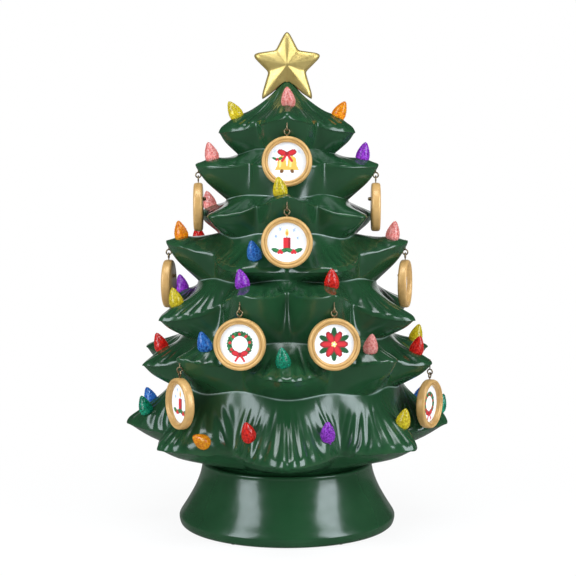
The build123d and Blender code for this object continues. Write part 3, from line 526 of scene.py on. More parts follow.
def inside_rings():
    """Plain hollow of the shell from the collar up to the peak."""
    rings = []
    for index in range(len(TIER_SHARES)):
        neck, foot = neck_and_foot(index)
        neck_radius = max(neck[0] - WALL, PEAK_FLAT_RADIUS / 2)
        neck_height = neck[1] if index else neck[1] - PEAK_SOLID
        foot_radius = foot[0] - WALL
        valley = VALLEY_SHARES[index] * TREE_RADIUS - WALL
        fullness, reach, height = rim_of(index)[:3]
        radius = soften(valley + (np.maximum(reach - TIP_WALL, valley) - valley) * fullness)
        height = soften(height) - WALL
        rings.append(ring_points(neck_radius, neck_height))
        for out, down in CAVITY_STEP_SHARES:
            rings.append(ring_points(neck_radius + out * (radius - neck_radius),
                                     neck[1] + down * (height + WALL - neck[1]) - WALL))
        rings.append(ring_points(radius, height))
        back, down = CAVITY_UNDER_SHARES
        rings.append(ring_points(radius + back * (foot_radius - radius), height + down * (foot[1] - height)))
    rings.append(ring_points(COLLAR_RADIUS - WALL, BASE_HEIGHT + COLLAR_RISE))
    return rings[::-1]


def build_tree():
    """Shell from the star's socket over the tiers to the collar, and back up its hollow."""
    rings = [ring_points(SOCKET_RADIUS, PEAK - SOCKET_DEPTH), ring_points(SOCKET_RADIUS, PEAK)]
    plain = np.zeros(AZIMUTH_STEPS)
    # The crease layer marks where a pale highlight is painted along each crease
    values = {"groove": [plain] * 2, "edge": [plain] * 2, "crease": [plain] * 2}
    creases = []
    for index in range(len(TIER_SHARES)):
        first = 1 if index else 0
        points, *layers = tier_rings(index)
        creases.append(len(rings) - 1)
        if index:
            values["crease"][-1] = layers[2][0]
        rings += list(points[first:])
        for name, layer in zip(values, layers):
            values[name] += list(layer[first:])
    rings = np.array(rings)
    for crease in creases[1:]:
        part = rings[crease - 2:crease + 3].copy()
        part[1:-1] = (part[:-2] + 2 * part[1:-1] + part[2:]) / 4
        rings[crease - 2:crease + 3] = part
    rings = list(rings)
    tail = [ring_points(radius, SEAT_HEIGHT) for radius in (COLLAR_RADIUS, COLLAR_RADIUS - WALL)]
    tail += inside_rings()
    mesh = grid_mesh("tree_shell", rings + tail)
    for name, rows in values.items():
        add_value(mesh, name, np.concatenate(rows + [plain] * len(tail)))
    return mesh


# Materials

FINE_SCALE = 6  # how much finer than the mottling the roughness and relief of a surface are
ROUGHNESS_SPREAD = 0.08
GRAIN = 0.0006
GLAZE_STOPS = [(0.30, (0.0085, 0.042, 0.0150)), (0.62, (0.0125, 0.055, 0.0205)), (0.80, (0.018, 0.068, 0.026))]
POOLED_GLAZE = (0.0060, 0.033, 0.0125, 1)
THIN_GLAZE = (0.032, 0.078, 0.030, 1)
# Pale colour painted along the creases as a highlight
CREASE_HIGHLIGHT_PAINT = (0.36, 0.46, 0.42, 1)


def new_material(name):
    material = bpy.data.materials.new(name)
    material.use_nodes = True
    tree = material.node_tree
    return material, tree, tree.nodes["Principled BSDF"]


def set_inputs(tree, node, values):
    """Link named or numbered inputs to sockets, or give them plain values."""
    for key, value in values.items():
        if hasattr(value, "is_output"):
            tree.links.new(value, node.inputs[key])
        else:
            node.inputs[key].default_value = value


def add_node(tree, kind, values, **settings):
    """Outputs of a new shader node with these inputs and settings."""
    node = tree.nodes.new("ShaderNode" + kind)
    for name, value in settings.items():
        setattr(node, name, value)
    set_inputs(tree, node, values)
    return node.outputs


def noise_node(tree, scale, detail=4.0):
    coords = add_node(tree, "TexCoord", {})["Object"]
    return add_node(tree, "TexNoise", {"Vector": coords, "Scale": scale, "Detail": detail})["Fac"]


def ramp_node(tree, source, stops):
    """Colour that runs through stops of place and colour."""
    node = tree.nodes.new("ShaderNodeValToRGB")
    ramp = node.color_ramp
    for element, (position, colour) in zip(ramp.elements, (stops[0], stops[-1])):
        element.position, element.color = position, (*colour, 1)
    for position, colour in stops[1:-1]:
        ramp.elements.new(position).color = (*colour, 1)
    tree.links.new(source, node.inputs["Fac"])
    return node.outputs["Color"]


def grey(value):
    return (value, value, value)


def bump_node(tree, source, strength, distance):
    return add_node(tree, "Bump", {"Height": source, "Strength": strength, "Distance": distance})["Normal"]


def math_node(tree, operation, *values):
    """Outcome of a maths step on sockets and plain numbers."""
    return add_node(tree, "Math", dict(enumerate(values)), operation=operation)[0]


def mix_colour(tree, factor, first, second, **settings):
    return add_node(tree, "Mix", {0: factor, 6: first, 7: second}, data_type="RGBA", **settings)[2]


def surface(name, dark, light, scale, roughness, bump, metallic=0.0):
    """Finish whose colour, roughness and relief vary with noise."""
    material, tree, shader = new_material(name)
    fine = noise_node(tree, scale * FINE_SCALE)
    low, high = grey(roughness - ROUGHNESS_SPREAD), grey(roughness + ROUGHNESS_SPREAD)
    set_inputs(tree, shader, {
        "Base Color": ramp_node(tree, noise_node(tree, scale), [(0.3, dark), (0.7, light)]),
        "Roughness": ramp_node(tree, fine, [(0.3, low), (0.7, high)]),
        "Normal": bump_node(tree, fine, bump, GRAIN), "Metallic": metallic,
    })
    return material


def glaze_material():
    """Green glaze, darker in the strokes, thin in patches of the lips, with a pale highlight painted along the
    creases.
    """
    material, tree, shader = new_material("green_glaze")
    groove, edge, crease = (add_node(tree, "Attribute", {}, attribute_name=name)["Fac"]
                            for name in ("groove", "edge", "crease"))
    pooled = mix_colour(tree, groove, ramp_node(tree, noise_node(tree, 22, 5), GLAZE_STOPS), POOLED_GLAZE)
    patches = ramp_node(tree, noise_node(tree, 60, 3), [(0.45, grey(0.0)), (0.75, grey(0.45))])
    glazed = mix_colour(tree, math_node(tree, "MULTIPLY", edge, patches), pooled, THIN_GLAZE)
    # Pale highlight painted along the creases, broken into pieces by noise
    highlight_breaks = ramp_node(tree, noise_node(tree, 30, 2), [(0.40, grey(0.0)), (0.58, grey(0.75))])
    set_inputs(tree, shader, {
        "Base Color": mix_colour(tree, math_node(tree, "MULTIPLY", crease, highlight_breaks), glazed, CREASE_HIGHLIGHT_PAINT),
        "Roughness": ramp_node(tree, noise_node(tree, 140, 4), [(0.3, grey(0.17)), (0.7, grey(0.25))]),
        "Normal": bump_node(tree, noise_node(tree, 34, 2), 0.22, 0.0022),
        "IOR": 1.50, "Specular IOR Level": 0.46, "Coat Weight": 0.15, "Coat Roughness": 0.07,
    })
    return material


def bulb_material(name, dark, light):
    """Tinted translucent plastic with specks, with a faint painted glow of the speck colour."""
    material, tree, shader = new_material(name)
    specks = noise_node(tree, 720, 3)
    colour = ramp_node(tree, specks, [(0.38, dark), (0.60, light)])
    set_inputs(tree, shader, {
        "Base Color": colour, "Normal": bump_node(tree, specks, 0.35, 0.0004), "Roughness": 0.22,
        "Transmission Weight": 0.60, "IOR": 1.46,
        "Subsurface Weight": 0.35, "Subsurface Radius": (1.0, 1.0, 1.0), "Subsurface Scale": 0.004,
        # The faint emission of the speck colour is a painted glow: no lamp in the scene lights the pegs
        "Emission Color": colour, "Emission Strength": 0.10,
    })
    return material


def picture_material():
    """Printed card: the print's colours on paper fibres."""
    material, tree, shader = new_material("picture_print")
    ink = add_node(tree, "Attribute", {}, attribute_name="ink")["Color"]
    fibres = noise_node(tree, 1600, 3)
    tone = ramp_node(tree, fibres, [(0.3, grey(0.92)), (0.7, grey(1.0))])
    set_inputs(tree, shader, {
        "Base Color": mix_colour(tree, 1.0, ink, tone, blend_type="MULTIPLY"),
        "Normal": bump_node(tree, fibres, 0.08, 0.0002), "Roughness": 0.38,
    })
    return material


glaze = glaze_material()
gold_glaze = surface("gold_glaze", (0.47, 0.34, 0.10), (0.62, 0.47, 0.17), 60, 0.40, 0.12, 0.75)
frame_gold = surface("gold_frame", (0.46, 0.26, 0.085), (0.60, 0.36, 0.13), 90, 0.36, 0.15, 0.15)
card = picture_material()
# Dark, light, scale of the mottling, roughness, relief and metal of each slot whose solids stay
FINISHES = {
    "brass_wire": ((0.22, 0.15, 0.085), (0.42, 0.31, 0.18), 400, 0.30, 0.1, 1.0),
    "white_plastic": ((0.74, 0.74, 0.71), (0.84, 0.84, 0.81), 120, 0.45, 0.15),
    "board_green": ((0.02, 0.14, 0.05), (0.04, 0.22, 0.08), 300, 0.40, 0.2),
    "lamp_lens": ((0.86, 0.80, 0.60), (0.95, 0.90, 0.74), 300, 0.20, 0.05),
    "diffuser_white": ((0.80, 0.78, 0.72), (0.90, 0.88, 0.83), 90, 0.50, 0.2),
    "black_plastic": ((0.012, 0.012, 0.013), (0.028, 0.028, 0.030), 200, 0.50, 0.3),
    "cell_jacket": ((0.05, 0.06, 0.08), (0.12, 0.13, 0.15), 80, 0.32, 0.1, 0.4),
    "contact_steel": ((0.50, 0.50, 0.52), (0.68, 0.68, 0.70), 300, 0.32, 0.1, 1.0),
    "lead_red": ((0.40, 0.015, 0.015), (0.55, 0.03, 0.03), 200, 0.40, 0.1),
    "foot_rubber": ((0.018, 0.018, 0.018), (0.040, 0.040, 0.040), 250, 0.70, 0.3),
}
finishes = {slot: surface(slot, *values) for slot, values in FINISHES.items()}

# Pieces

link("tree_shell", build_tree(), glaze, "tree", "green_glaze", "tree_body")


def lathe(name, profile, centre, axis, segments):
    """Turned mesh from pairs of radius and place along the axis, closed at both ends on the axis."""
    axis = Vector(axis).normalized()
    side = axis.orthogonal().normalized()
    other = axis.cross(side)
    angles = [2 * math.pi * k / segments for k in range(segments)]
    build = bmesh.new()
    rows = []
    for radius, place in profile:
        base = Vector(centre) + axis * place
        ring = [base + side * radius * math.cos(a) + other * radius * math.sin(a) for a in angles]
        rows.append([build.verts.new(point) for point in (ring if radius else [base])])
    for first, second in zip(rows, rows[1:]):
        for k in range(segments):
            m = (k + 1) % segments
            corners = [row[i % len(row)] for row, i in ((first, k), (first, m), (second, m), (second, k))]
            unique = list(dict.fromkeys(corners))
            if len(unique) > 2:
                build.faces.new(unique)
    bmesh.ops.recalc_face_normals(build, faces=build.faces)
    return write_back(build, bpy.data.meshes.new(name))


def bulb_rings(seat, direction):
    """Pebbled ogive of one light peg with its stem, as rings of points."""
    side = np.array(Vector(direction).orthogonal().normalized())
    other = np.cross(direction, side)
    count = PEBBLES_ROUND * PEBBLE_STEPS
    around = np.arange(count) * 2 * math.pi / count
    stem = [(BULB_PEG_RADIUS * PEG_TAPER, -BULB_PEG_LENGTH),
            (BULB_PEG_RADIUS, BULB_PEG_CHAMFER - BULB_PEG_LENGTH), (BULB_PEG_RADIUS, 0.0)]
    rings = [(np.full(count, radius), place) for radius, place in stem]
    for share_radius, share_height in catmull(BULB_OUTLINE_SHARES, BULB_OUTLINE_STEPS)[:-1]:
        level = share_height * PEBBLE_ROWS
        shift = math.pi * (math.floor(level) % 2)
        pebble = np.abs(np.sin(around * PEBBLES_ROUND / 2 + shift / 2)) * abs(math.sin(math.pi * level))
        depth = PEBBLE_DEPTH * (1 - pebble) * min(1.0, 4 * (1 - share_height))
        depth = depth * (share_radius > PEBBLED_RADIUS_SHARE)
        rings.append((share_radius * BULB_RADIUS - depth, share_height * BULB_HEIGHT))
    rings.append((np.full(count, BULB_TIP_RADIUS), BULB_HEIGHT))
    return [seat + np.outer(radius * np.cos(around), side) + np.outer(radius * np.sin(around), other)
            + direction * place for radius, place in rings]


def join_meshes(name, meshes):
    """One mesh of several, which are used up."""
    build = opened(*meshes)
    for mesh in meshes:
        bpy.data.meshes.remove(mesh)
    bmesh.ops.recalc_face_normals(build, faces=build.faces)
    return write_back(build, bpy.data.meshes.new(name))


for colour, specks in BULB_COLOURS.items():
    pegs = [grid_mesh("peg", bulb_rings(*peg)) for peg in light_pegs[colour]]
    mesh = join_meshes("light_pegs_" + colour, pegs)
    material = bulb_material("light_" + colour, *specks)
    link("light_pegs_" + colour, mesh, material, "tree", "light_" + colour, "bulbs_" + colour)


# Star: soft ridges from the middle to the tips


def star_outline(angle):
    """Radius of the star's outline at an angle from the top, clockwise as seen from the front."""
    place = (angle / (2 * math.pi) * 5) % 5
    arm = int(round(place)) % 5
    offset = (place - round(place)) * 2 * math.pi / 5
    tip = Vector((STAR_REACHES[arm], 0))
    notch = Vector((STAR_NOTCH_RADIUS * math.cos(math.pi / 5), STAR_NOTCH_RADIUS * math.sin(math.pi / 5)))
    way = Vector((math.cos(abs(offset)), math.sin(abs(offset))))
    side = notch - tip
    return (tip.x * side.y - tip.y * side.x) / (way.x * side.y - way.y * side.x)


def build_star():
    """Star without its hollow, from the middle of its front over the rim to the middle of its back."""
    angles = [2 * math.pi * k / STAR_STEPS for k in range(STAR_STEPS)]
    reach = np.array([star_outline(angle) for angle in angles])
    for _ in range(STAR_OUTLINE_ROUNDS):
        reach = (np.roll(reach, 1) + 2 * reach + np.roll(reach, -1)) / 4
    lengthen = [tip / reach[arm * STAR_STEPS // 5] for arm, tip in enumerate(STAR_REACHES)]
    reach = reach * np.interp(np.arange(STAR_STEPS) * 5 / STAR_STEPS, range(6), lengthen + lengthen[:1])
    edge = STAR_RIM_HALF_DEPTH * STAR_EDGE_SHARE
    front = [(STAR_MIDDLE[0], STAR_HALF_DEPTH - STAR_MIDDLE[1])]
    for k in range(1, STAR_ROWS + 1):
        share = k / STAR_ROWS
        rise = STAR_RIM_HALF_DEPTH + (STAR_HALF_DEPTH - STAR_RIM_HALF_DEPTH) * (1 - share) ** STAR_RIDGE_POWER
        past = max(0.0, (share - STAR_ROUND_SHARE) / (1 - STAR_ROUND_SHARE))
        front.append((share, edge + (rise - edge) * math.sqrt(max(0.0, 1 - past ** 2))))
    across, up = reach * np.sin(angles), reach * np.cos(angles)
    rings = [np.stack([share * across, np.full(STAR_STEPS, -depth), STAR_CENTRE + share * up], axis=-1)
             for share, depth in front + [(share, -depth) for share, depth in front[::-1]]]
    mesh = grid_mesh("star_body", rings)
    build = opened(mesh)
    bmesh.ops.recalc_face_normals(build, faces=build.faces)
    for _ in range(STAR_SKIN_ROUNDS):
        bmesh.ops.smooth_vert(build, verts=build.verts, factor=STAR_SKIN_FACTOR,
                              use_axis_x=True, use_axis_y=True, use_axis_z=True)
    return write_back(build, mesh)


star_obj = link("star_topper", build_star(), gold_glaze, "star", "gold_glaze", "star")


def cut_star():
    """Hollow the star where it straddles the peak and add its peg."""
    flat, top = PEAK_FLAT_RADIUS + STAR_PLAY, PEAK + STAR_PLAY
    profile = [(0.0, top), (flat, top)]
    for out, down in TOP_STEP_SHARES[:4]:
        profile.append((flat + out * (STAR_HOLLOW_REACH_SHARE * TREE_RADIUS - PEAK_FLAT_RADIUS),
                        top - down * STAR_HOLLOW_DROP_SHARE * TREE_HEIGHT))
    profile.append((0.0, profile[-1][1]))
    cutter = new_object("peak_cutter", lathe("peak_cutter", profile, (0, 0, 0), (0, 0, 1), 96))
    modifier = star_obj.modifiers.new("peak", "BOOLEAN")
    modifier.operation = "DIFFERENCE"
    modifier.solver = "EXACT"
    modifier.object = cutter
    bpy.context.view_layer.update()
    done = bpy.data.meshes.new_from_object(star_obj.evaluated_get(bpy.context.evaluated_depsgraph_get()))
    star_obj.modifiers.remove(modifier)
    bpy.data.objects.remove(cutter)
    end = -STAR_PEG_DEPTH
    peg = [(0.0, end), (STAR_PEG_RADIUS * PEG_TAPER, end), (STAR_PEG_RADIUS, end + STAR_PEG_CHAMFER),
           (STAR_PEG_RADIUS, STAR_PEG_ROOT), (0.0, STAR_PEG_ROOT)]
    stem = lathe("star_stem", peg, (0, 0, PEAK), (0, 0, 1), 32)
    star_obj.data = write_back(opened(done, stem), done)
    bpy.data.meshes.remove(stem)
    done.materials.clear()
    done.materials.append(gold_glaze)


cut_star()

# Pedestal: flared turned casting with a rounded foot and a recessed seat

FOOT_PROUD = 0.0008
DECK_HOLE_RADIUS = 0.010
DECK_BOTTOM = 0.041
PEDESTAL_STEPS = 192
SIDE_STEPS = 6
WELD_DISTANCE = 1e-6
FOOT_LINE = [(0.0850, FOOT_PROUD), (0.0866, 0.0010), (0.0878, 0.0020)]
SIDE_LINE = [
    (0.0885, 0.0036), (0.0890, 0.0065), (0.0883, 0.0095), (0.0828, 0.0182), (0.0765, 0.0293),
    (0.0721, 0.0400), (0.0702, 0.0480), (0.0700, 0.0505),
]
SHOULDER_LINE = [(0.0698, 0.0512), (0.0693, 0.0517), (0.0685, 0.0520), (0.0662, 0.0520), (0.0659, 0.0517)]
UNDER_LINE = [
    (0.0659, SEAT_HEIGHT), (DECK_HOLE_RADIUS, SEAT_HEIGHT), (DECK_HOLE_RADIUS, DECK_BOTTOM),
    (0.060, DECK_BOTTOM), (0.0800, FOOT_PROUD), (0.0850, FOOT_PROUD),
]
pedestal_line = FOOT_LINE + catmull(SIDE_LINE, SIDE_STEPS).tolist() + SHOULDER_LINE + UNDER_LINE
around = np.arange(PEDESTAL_STEPS) * 2 * math.pi / PEDESTAL_STEPS
pedestal_rings = [[[r * math.sin(a), -r * math.cos(a), z] for a in around] for r, z in pedestal_line]
pedestal_mesh = grid_mesh("pedestal", pedestal_rings, capped=False)
build = opened(pedestal_mesh)
bmesh.ops.remove_doubles(build, verts=build.verts, dist=WELD_DISTANCE)
bmesh.ops.recalc_face_normals(build, faces=build.faces)
link("pedestal", write_back(build, pedestal_mesh), glaze, "base", "green_glaze", "base_pedestal")

# Ornaments

FRAME_STEPS = 112
FRAME_PROFILE = [
    (0.0, -0.0036), (0.0177, -0.0036), (0.0185, -0.0034), (0.0191, -0.0029), (0.0194, -0.0022),
    (0.0195, -0.0012), (0.0195, 0.0013), (0.0194, 0.0021), (0.0191, 0.0029), (0.0186, 0.0034),
    (0.0180, 0.0036), (0.0174, 0.0034), (0.0170, 0.0030), (0.01685, 0.0025), (0.01665, 0.0025),
    (0.0164, 0.0029), (0.0160, 0.0031), (0.0156, 0.0029), (0.0152, 0.0024), (0.0149, 0.0018),
    (0.0148, 0.0010), (0.0148, -0.0003), (0.0146, -0.0016), (0.0, -0.0016),
]
PRINT_STEPS = 96
PAPER = (0.86, 0.86, 0.88)
SNOW = (0.88, 0.90, 0.94)
SKY = (0.52, 0.66, 0.84)
RED = (0.60, 0.02, 0.03)
DEEP_RED = (0.32, 0.01, 0.02)
LEAF = (0.03, 0.20, 0.06)
DARK_LEAF = (0.012, 0.09, 0.03)
GOLD = (0.72, 0.44, 0.08)
PALE_GOLD = (0.88, 0.66, 0.24)
INK = (0.015, 0.015, 0.018)
BLUE = (0.16, 0.28, 0.58)
BROWN = (0.18, 0.08, 0.03)
FLAME = (0.85, 0.30, 0.05)
SUGAR = (0.90, 0.88, 0.86)


def unit(degrees):
    """Cosine and sine of an angle in degrees."""
    return math.cos(math.radians(degrees)), math.sin(math.radians(degrees))


class Print:
    """Round print on a square of points, coloured shape by shape. Places are shares of the radius."""

    def __init__(self, ground, lower=None):
        step = np.linspace(-1, 1, PRINT_STEPS)
        self.x, self.y = np.meshgrid(step, step)
        self.ink = np.ones((PRINT_STEPS, PRINT_STEPS, 3)) * ground
        if lower is not None:
            share = np.clip(0.5 - self.y, 0, 1)[..., None]
            self.ink = self.ink * (1 - share) + np.array(lower) * share

    def fill(self, inside, colour):
        self.ink[inside] = colour

    def disc(self, x, y, radius, colour, squeeze=1.0, turned=0.0):
        c, s = unit(turned)
        u = (self.x - x) * c + (self.y - y) * s
        v = -(self.x - x) * s + (self.y - y) * c
        self.fill(u ** 2 + (v / squeeze) ** 2 < radius ** 2, colour)

    def stroke(self, x0, y0, x1, y1, width, colour):
        dx, dy = x1 - x0, y1 - y0
        t = np.clip(((self.x - x0) * dx + (self.y - y0) * dy) / (dx * dx + dy * dy), 0, 1)
        self.fill(np.hypot(self.x - x0 - t * dx, self.y - y0 - t * dy) < width, colour)

    def shape(self, corners, colour):
        inside = np.zeros(self.x.shape, dtype=bool)
        for (x0, y0), (x1, y1) in zip(corners, corners[1:] + corners[:1]):
            crossing = (y0 > self.y) != (y1 > self.y)
            edge_x = (x1 - x0) * (self.y - y0) / ((y1 - y0) or 1e-9) + x0
            inside ^= crossing & (self.x < edge_x)
        self.fill(inside, colour)

    def ring(self, x, y, radius, width, colour):
        self.fill(np.abs(np.hypot(self.x - x, self.y - y) - radius) < width, colour)

    def holly(self, x, y, size):
        for turned in (20, 160):
            c, s = unit(turned)
            self.disc(x + size * 0.8 * c, y + size * 0.8 * s, size, DARK_LEAF, 0.42, turned)
            self.disc(x + size * 0.8 * c, y + size * 0.8 * s + 0.02, size * 0.85, LEAF, 0.30, turned)
        for dx, dy in ((-0.3, -0.15), (0.3, -0.15), (0.0, 0.25)):
            self.disc(x + dx * size, y + dy * size, size * 0.30, RED)

    def bow(self, x, y, size):
        for side in (-1, 1):
            self.disc(x + side * size * 0.6, y + size * 0.1, size * 0.6, DEEP_RED, 0.62, side * 18)
            self.disc(x + side * size * 0.62, y + size * 0.12, size * 0.45, RED, 0.55, side * 18)
            self.stroke(x, y, x + side * size * 0.6, y - size * 0.9, size * 0.16, RED)
        self.disc(x, y, size * 0.24, DEEP_RED)

    def flakes(self, places, size, colour):
        for x, y in places:
            for turned in (0, 60, 120):
                c, s = unit(turned)
                self.stroke(x - c * size, y - s * size, x + c * size, y + s * size, size * 0.13, colour)


def print_bells(art):
    for side in (-1, 1):
        x = 0.27 * side
        art.shape([(x - 0.36, -0.45), (x + 0.36, -0.45), (x + 0.25, -0.22), (x + 0.20, 0.18), (x, 0.34),
                   (x - 0.20, 0.18), (x - 0.25, -0.22)], GOLD)
        art.stroke(x - 0.10, -0.25, x - 0.06, 0.12, 0.055, PALE_GOLD)
        art.disc(x, -0.50, 0.10, BROWN)
    art.bow(0, 0.42, 0.42)
    art.holly(-0.50, 0.10, 0.16)
    art.flakes([(-0.62, 0.52), (0.62, 0.50), (0.0, -0.75)], 0.11, SKY)


def print_candle(art):
    art.shape([(-0.20, -0.45), (0.20, -0.45), (0.18, 0.25), (-0.18, 0.25)], RED)
    art.shape([(0.05, -0.45), (0.20, -0.45), (0.18, 0.25), (0.06, 0.25)], DEEP_RED)
    art.stroke(0, 0.24, 0, 0.34, 0.025, INK)
    art.disc(0, 0.50, 0.11, PALE_GOLD, 1.7)
    art.disc(0, 0.46, 0.06, FLAME, 1.7)
    art.holly(-0.34, -0.48, 0.26)
    art.holly(0.34, -0.48, 0.26)
    art.flakes([(-0.55, 0.30), (0.55, 0.22), (0.36, 0.62), (-0.34, 0.66)], 0.10, BLUE)


def print_wreath(art):
    for k in range(26):
        turned = 360 * k / 26
        c, s = unit(turned)
        art.disc(0.52 * c, 0.52 * s, 0.20, DARK_LEAF if k % 2 else LEAF, 0.40, turned + 55)
        art.disc(0.48 * c, 0.48 * s, 0.13, LEAF if k % 2 else DARK_LEAF, 0.40, turned + 120)
    for k in range(9):
        c, s = unit(40 * k + 12)
        art.disc(0.50 * c, 0.50 * s, 0.075, RED)
    art.bow(0, -0.50, 0.36)


def print_poinsettia(art):
    for k in range(6):
        turned = 60 * k + 30
        c, s = unit(turned)
        art.disc(0.50 * c, 0.50 * s, 0.34, DARK_LEAF, 0.42, turned)
    for k in range(6):
        turned = 60 * k
        c, s = unit(turned)
        art.disc(0.38 * c, 0.38 * s, 0.34, DEEP_RED, 0.50, turned)
        art.disc(0.36 * c, 0.36 * s, 0.27, RED, 0.42, turned)
    for k in range(5):
        art.disc(0.09 * math.cos(1.26 * k), 0.09 * math.sin(1.26 * k), 0.055, PALE_GOLD)


def print_canes(art):
    for side in (-1, 1):
        x0, y0, x1, y1 = -0.34 * side, -0.62, 0.26 * side, 0.34
        hook_x, hook_y = 0.43 * side, 0.36
        art.stroke(x0, y0, x1, y1, 0.10, SUGAR)
        art.ring(hook_x, hook_y, 0.17, 0.085, SUGAR)
        for k in range(7):
            t = (k + 0.5) / 7
            x, y = x0 + t * (x1 - x0), y0 + t * (y1 - y0)
            art.stroke(x - 0.08, y - 0.035, x + 0.08, y + 0.035, 0.035, RED)
        for turned in (10, 70, 130):
            c, s = unit(turned)
            art.stroke(hook_x + 0.10 * c, hook_y + 0.10 * s, hook_x + 0.24 * c, hook_y + 0.24 * s, 0.03, RED)
    art.bow(0, -0.12, 0.30)
    art.holly(0, 0.62, 0.17)


def print_gift(art):
    art.shape([(-0.46, -0.58), (0.46, -0.58), (0.46, 0.14), (-0.46, 0.14)], LEAF)
    art.shape([(-0.52, 0.06), (0.52, 0.06), (0.52, 0.24), (-0.52, 0.24)], DARK_LEAF)
    art.shape([(-0.09, -0.58), (0.09, -0.58), (0.09, 0.24), (-0.09, 0.24)], RED)
    art.bow(0, 0.40, 0.34)
    art.flakes([(-0.60, 0.45), (0.62, 0.42), (-0.72, -0.20), (0.74, -0.18)], 0.10, PAPER)


def print_pines(art):
    art.disc(0.2, -1.05, 0.95, SNOW)
    art.disc(-0.5, -1.10, 0.85, PAPER)
    for x, y, size in ((-0.38, -0.42, 0.9), (0.34, -0.38, 1.1), (0.02, -0.52, 0.7)):
        art.stroke(x, y, x, y + 0.1, 0.04, BROWN)
        for k in range(3):
            w, low = (0.30 - 0.07 * k) * size, y + 0.08 + 0.22 * k * size
            art.shape([(x - w, low), (x + w, low), (x, low + 0.38 * size)], DARK_LEAF if k % 2 else LEAF)
            art.stroke(x - w * 0.8, low + 0.03, x + w * 0.8, low + 0.03, 0.025, SNOW)
    art.flakes([(-0.60, 0.45), (0.0, 0.62), (0.66, 0.52), (-0.12, 0.20)], 0.07, PAPER)


# Design and ground of each ornament's picture
BELLS, CANDLE, WREATH = (print_bells, PAPER), (print_candle, SNOW), (print_wreath, PAPER)
POINSETTIA, CANES = (print_poinsettia, SNOW), (print_canes, PAPER)
GIFT, PINES = (print_gift, SNOW, SKY), (print_pines, SKY, SNOW)
PRINTS = [BELLS, CANDLE, WREATH, POINSETTIA, CANES, GIFT, PINES, CANES, CANDLE, WREATH, PINES, BELLS]


def picture_mesh(name, art, centre, facing):
    """Card with the print's colours: a square patch of points pulled to a disc, with a rim and a back."""
    n = PRINT_STEPS
    facing = np.array(facing)
    up = np.array([0, 0, 1])
    disc_x = art.x * np.sqrt(1 - art.y ** 2 / 2)
    disc_y = art.y * np.sqrt(1 - art.x ** 2 / 2)
    flat = disc_x[..., None] * np.cross(up, facing) + disc_y[..., None] * up
    points = np.array(centre) + facing * PICTURE_FRONT + PICTURE_RADIUS * flat
    line, column = (np.round((share + 1) / 2 * (n - 1)).astype(int) for share in (disc_y, disc_x))
    ink = art.ink[line, column]
    index = np.arange(n * n).reshape(n, n)
    quads = np.stack([index[:-1, :-1], index[:-1, 1:], index[1:, 1:], index[1:, :-1]], axis=-1).reshape(-1, 4)
    loop = np.concatenate([index[0, :-1], index[:-1, -1], index[-1, :0:-1], index[:0:-1, 0]])
    behind = n * n + np.arange(len(loop))
    rim = np.stack([loop, behind, np.roll(behind, -1), np.roll(loop, -1)], axis=-1)
    points, ink = points.reshape(-1, 3), ink.reshape(-1, 3)
    points = np.concatenate([points, points[loop] - facing * PICTURE_THICKNESS])
    ink = np.concatenate([ink, ink[loop]])
    mesh = bpy.data.meshes.new(name)
    mesh.from_pydata(points.tolist(), [], quads.tolist() + rim.tolist() + [behind[::-1].tolist()])
    layer = mesh.color_attributes.new("ink", "FLOAT_COLOR", "POINT")
    colours = np.concatenate([ink, np.ones((len(ink), 1))], axis=1)
    layer.data.foreach_set("color", colours.astype(np.float32).ravel())
    mesh.polygons.foreach_set("use_smooth", [True] * len(quads) + [False] * (len(rim) + 1))
    return mesh


hinges = {joint["child"]: joint for joint in frame["joints"] if joint["name"].endswith("_swing")}
for number, (design, *ground) in enumerate(PRINTS, start=1):
    body = "ornament_%02d" % number
    low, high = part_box(body + "_frame")
    centre = (Vector(low) + Vector(high)) / 2
    axis = hinges[body]["axis"]
    facing = Vector((-axis[1], axis[0], 0)).normalized()
    mesh = lathe(body + "_ring", FRAME_PROFILE, centre, facing, FRAME_STEPS)
    link(body + "_ring", mesh, frame_gold, body, "gold_frame", body + "_frame")
    art = Print(*ground)
    design(art)
    mesh = picture_mesh(body + "_print", art, centre, facing)
    link(body + "_print", mesh, card, body, "picture_card", body + "_picture")

# Solids that stay: finish by slot, edges split so that curved faces shade smoothly

SPLIT_ANGLE_DEG = 35
for part in frame["record"]["subparts"]:
    if part["material_slot"] not in finishes:
        continue
    obj = nodes[part["node"]]
    obj.data.materials.clear()
    obj.data.materials.append(finishes[part["material_slot"]])
    smooth(obj.data)
    weld = obj.modifiers.new("weld", "WELD")
    weld.merge_threshold = WELD_DISTANCE
    split = obj.modifiers.new("split", "EDGE_SPLIT")
    split.split_angle = math.radians(SPLIT_ANGLE_DEG)

# Studio: floor and room are white to the camera and through glass, and dimmer in the mirror of the glaze

FLOOR_HALF = 6
FLOOR_CORNERS = [(x * FLOOR_HALF, y * FLOOR_HALF, 0) for x, y in ((-1, -1), (1, -1), (1, 1), (-1, 1))]
SHADED_RADII = (0.08, 0.42)  # the floor whitens between these distances from the middle
SHADED_WHITE = 0.90
MIRRORED_FLOOR = 0.22
MIRRORED_ROOM = 0.06
BACKDROP = (0.84, 0.99)  # the mirrored room turns white between these shares of straight behind
ROOM_LIGHT = 0.42
WHITE = (1, 1, 1, 1)


def map_range(tree, value, start, end, low, high, **settings):
    inputs = {"Value": value, "From Min": start, "From Max": end, "To Min": low, "To Max": high}
    return add_node(tree, "MapRange", inputs, **settings)["Result"]


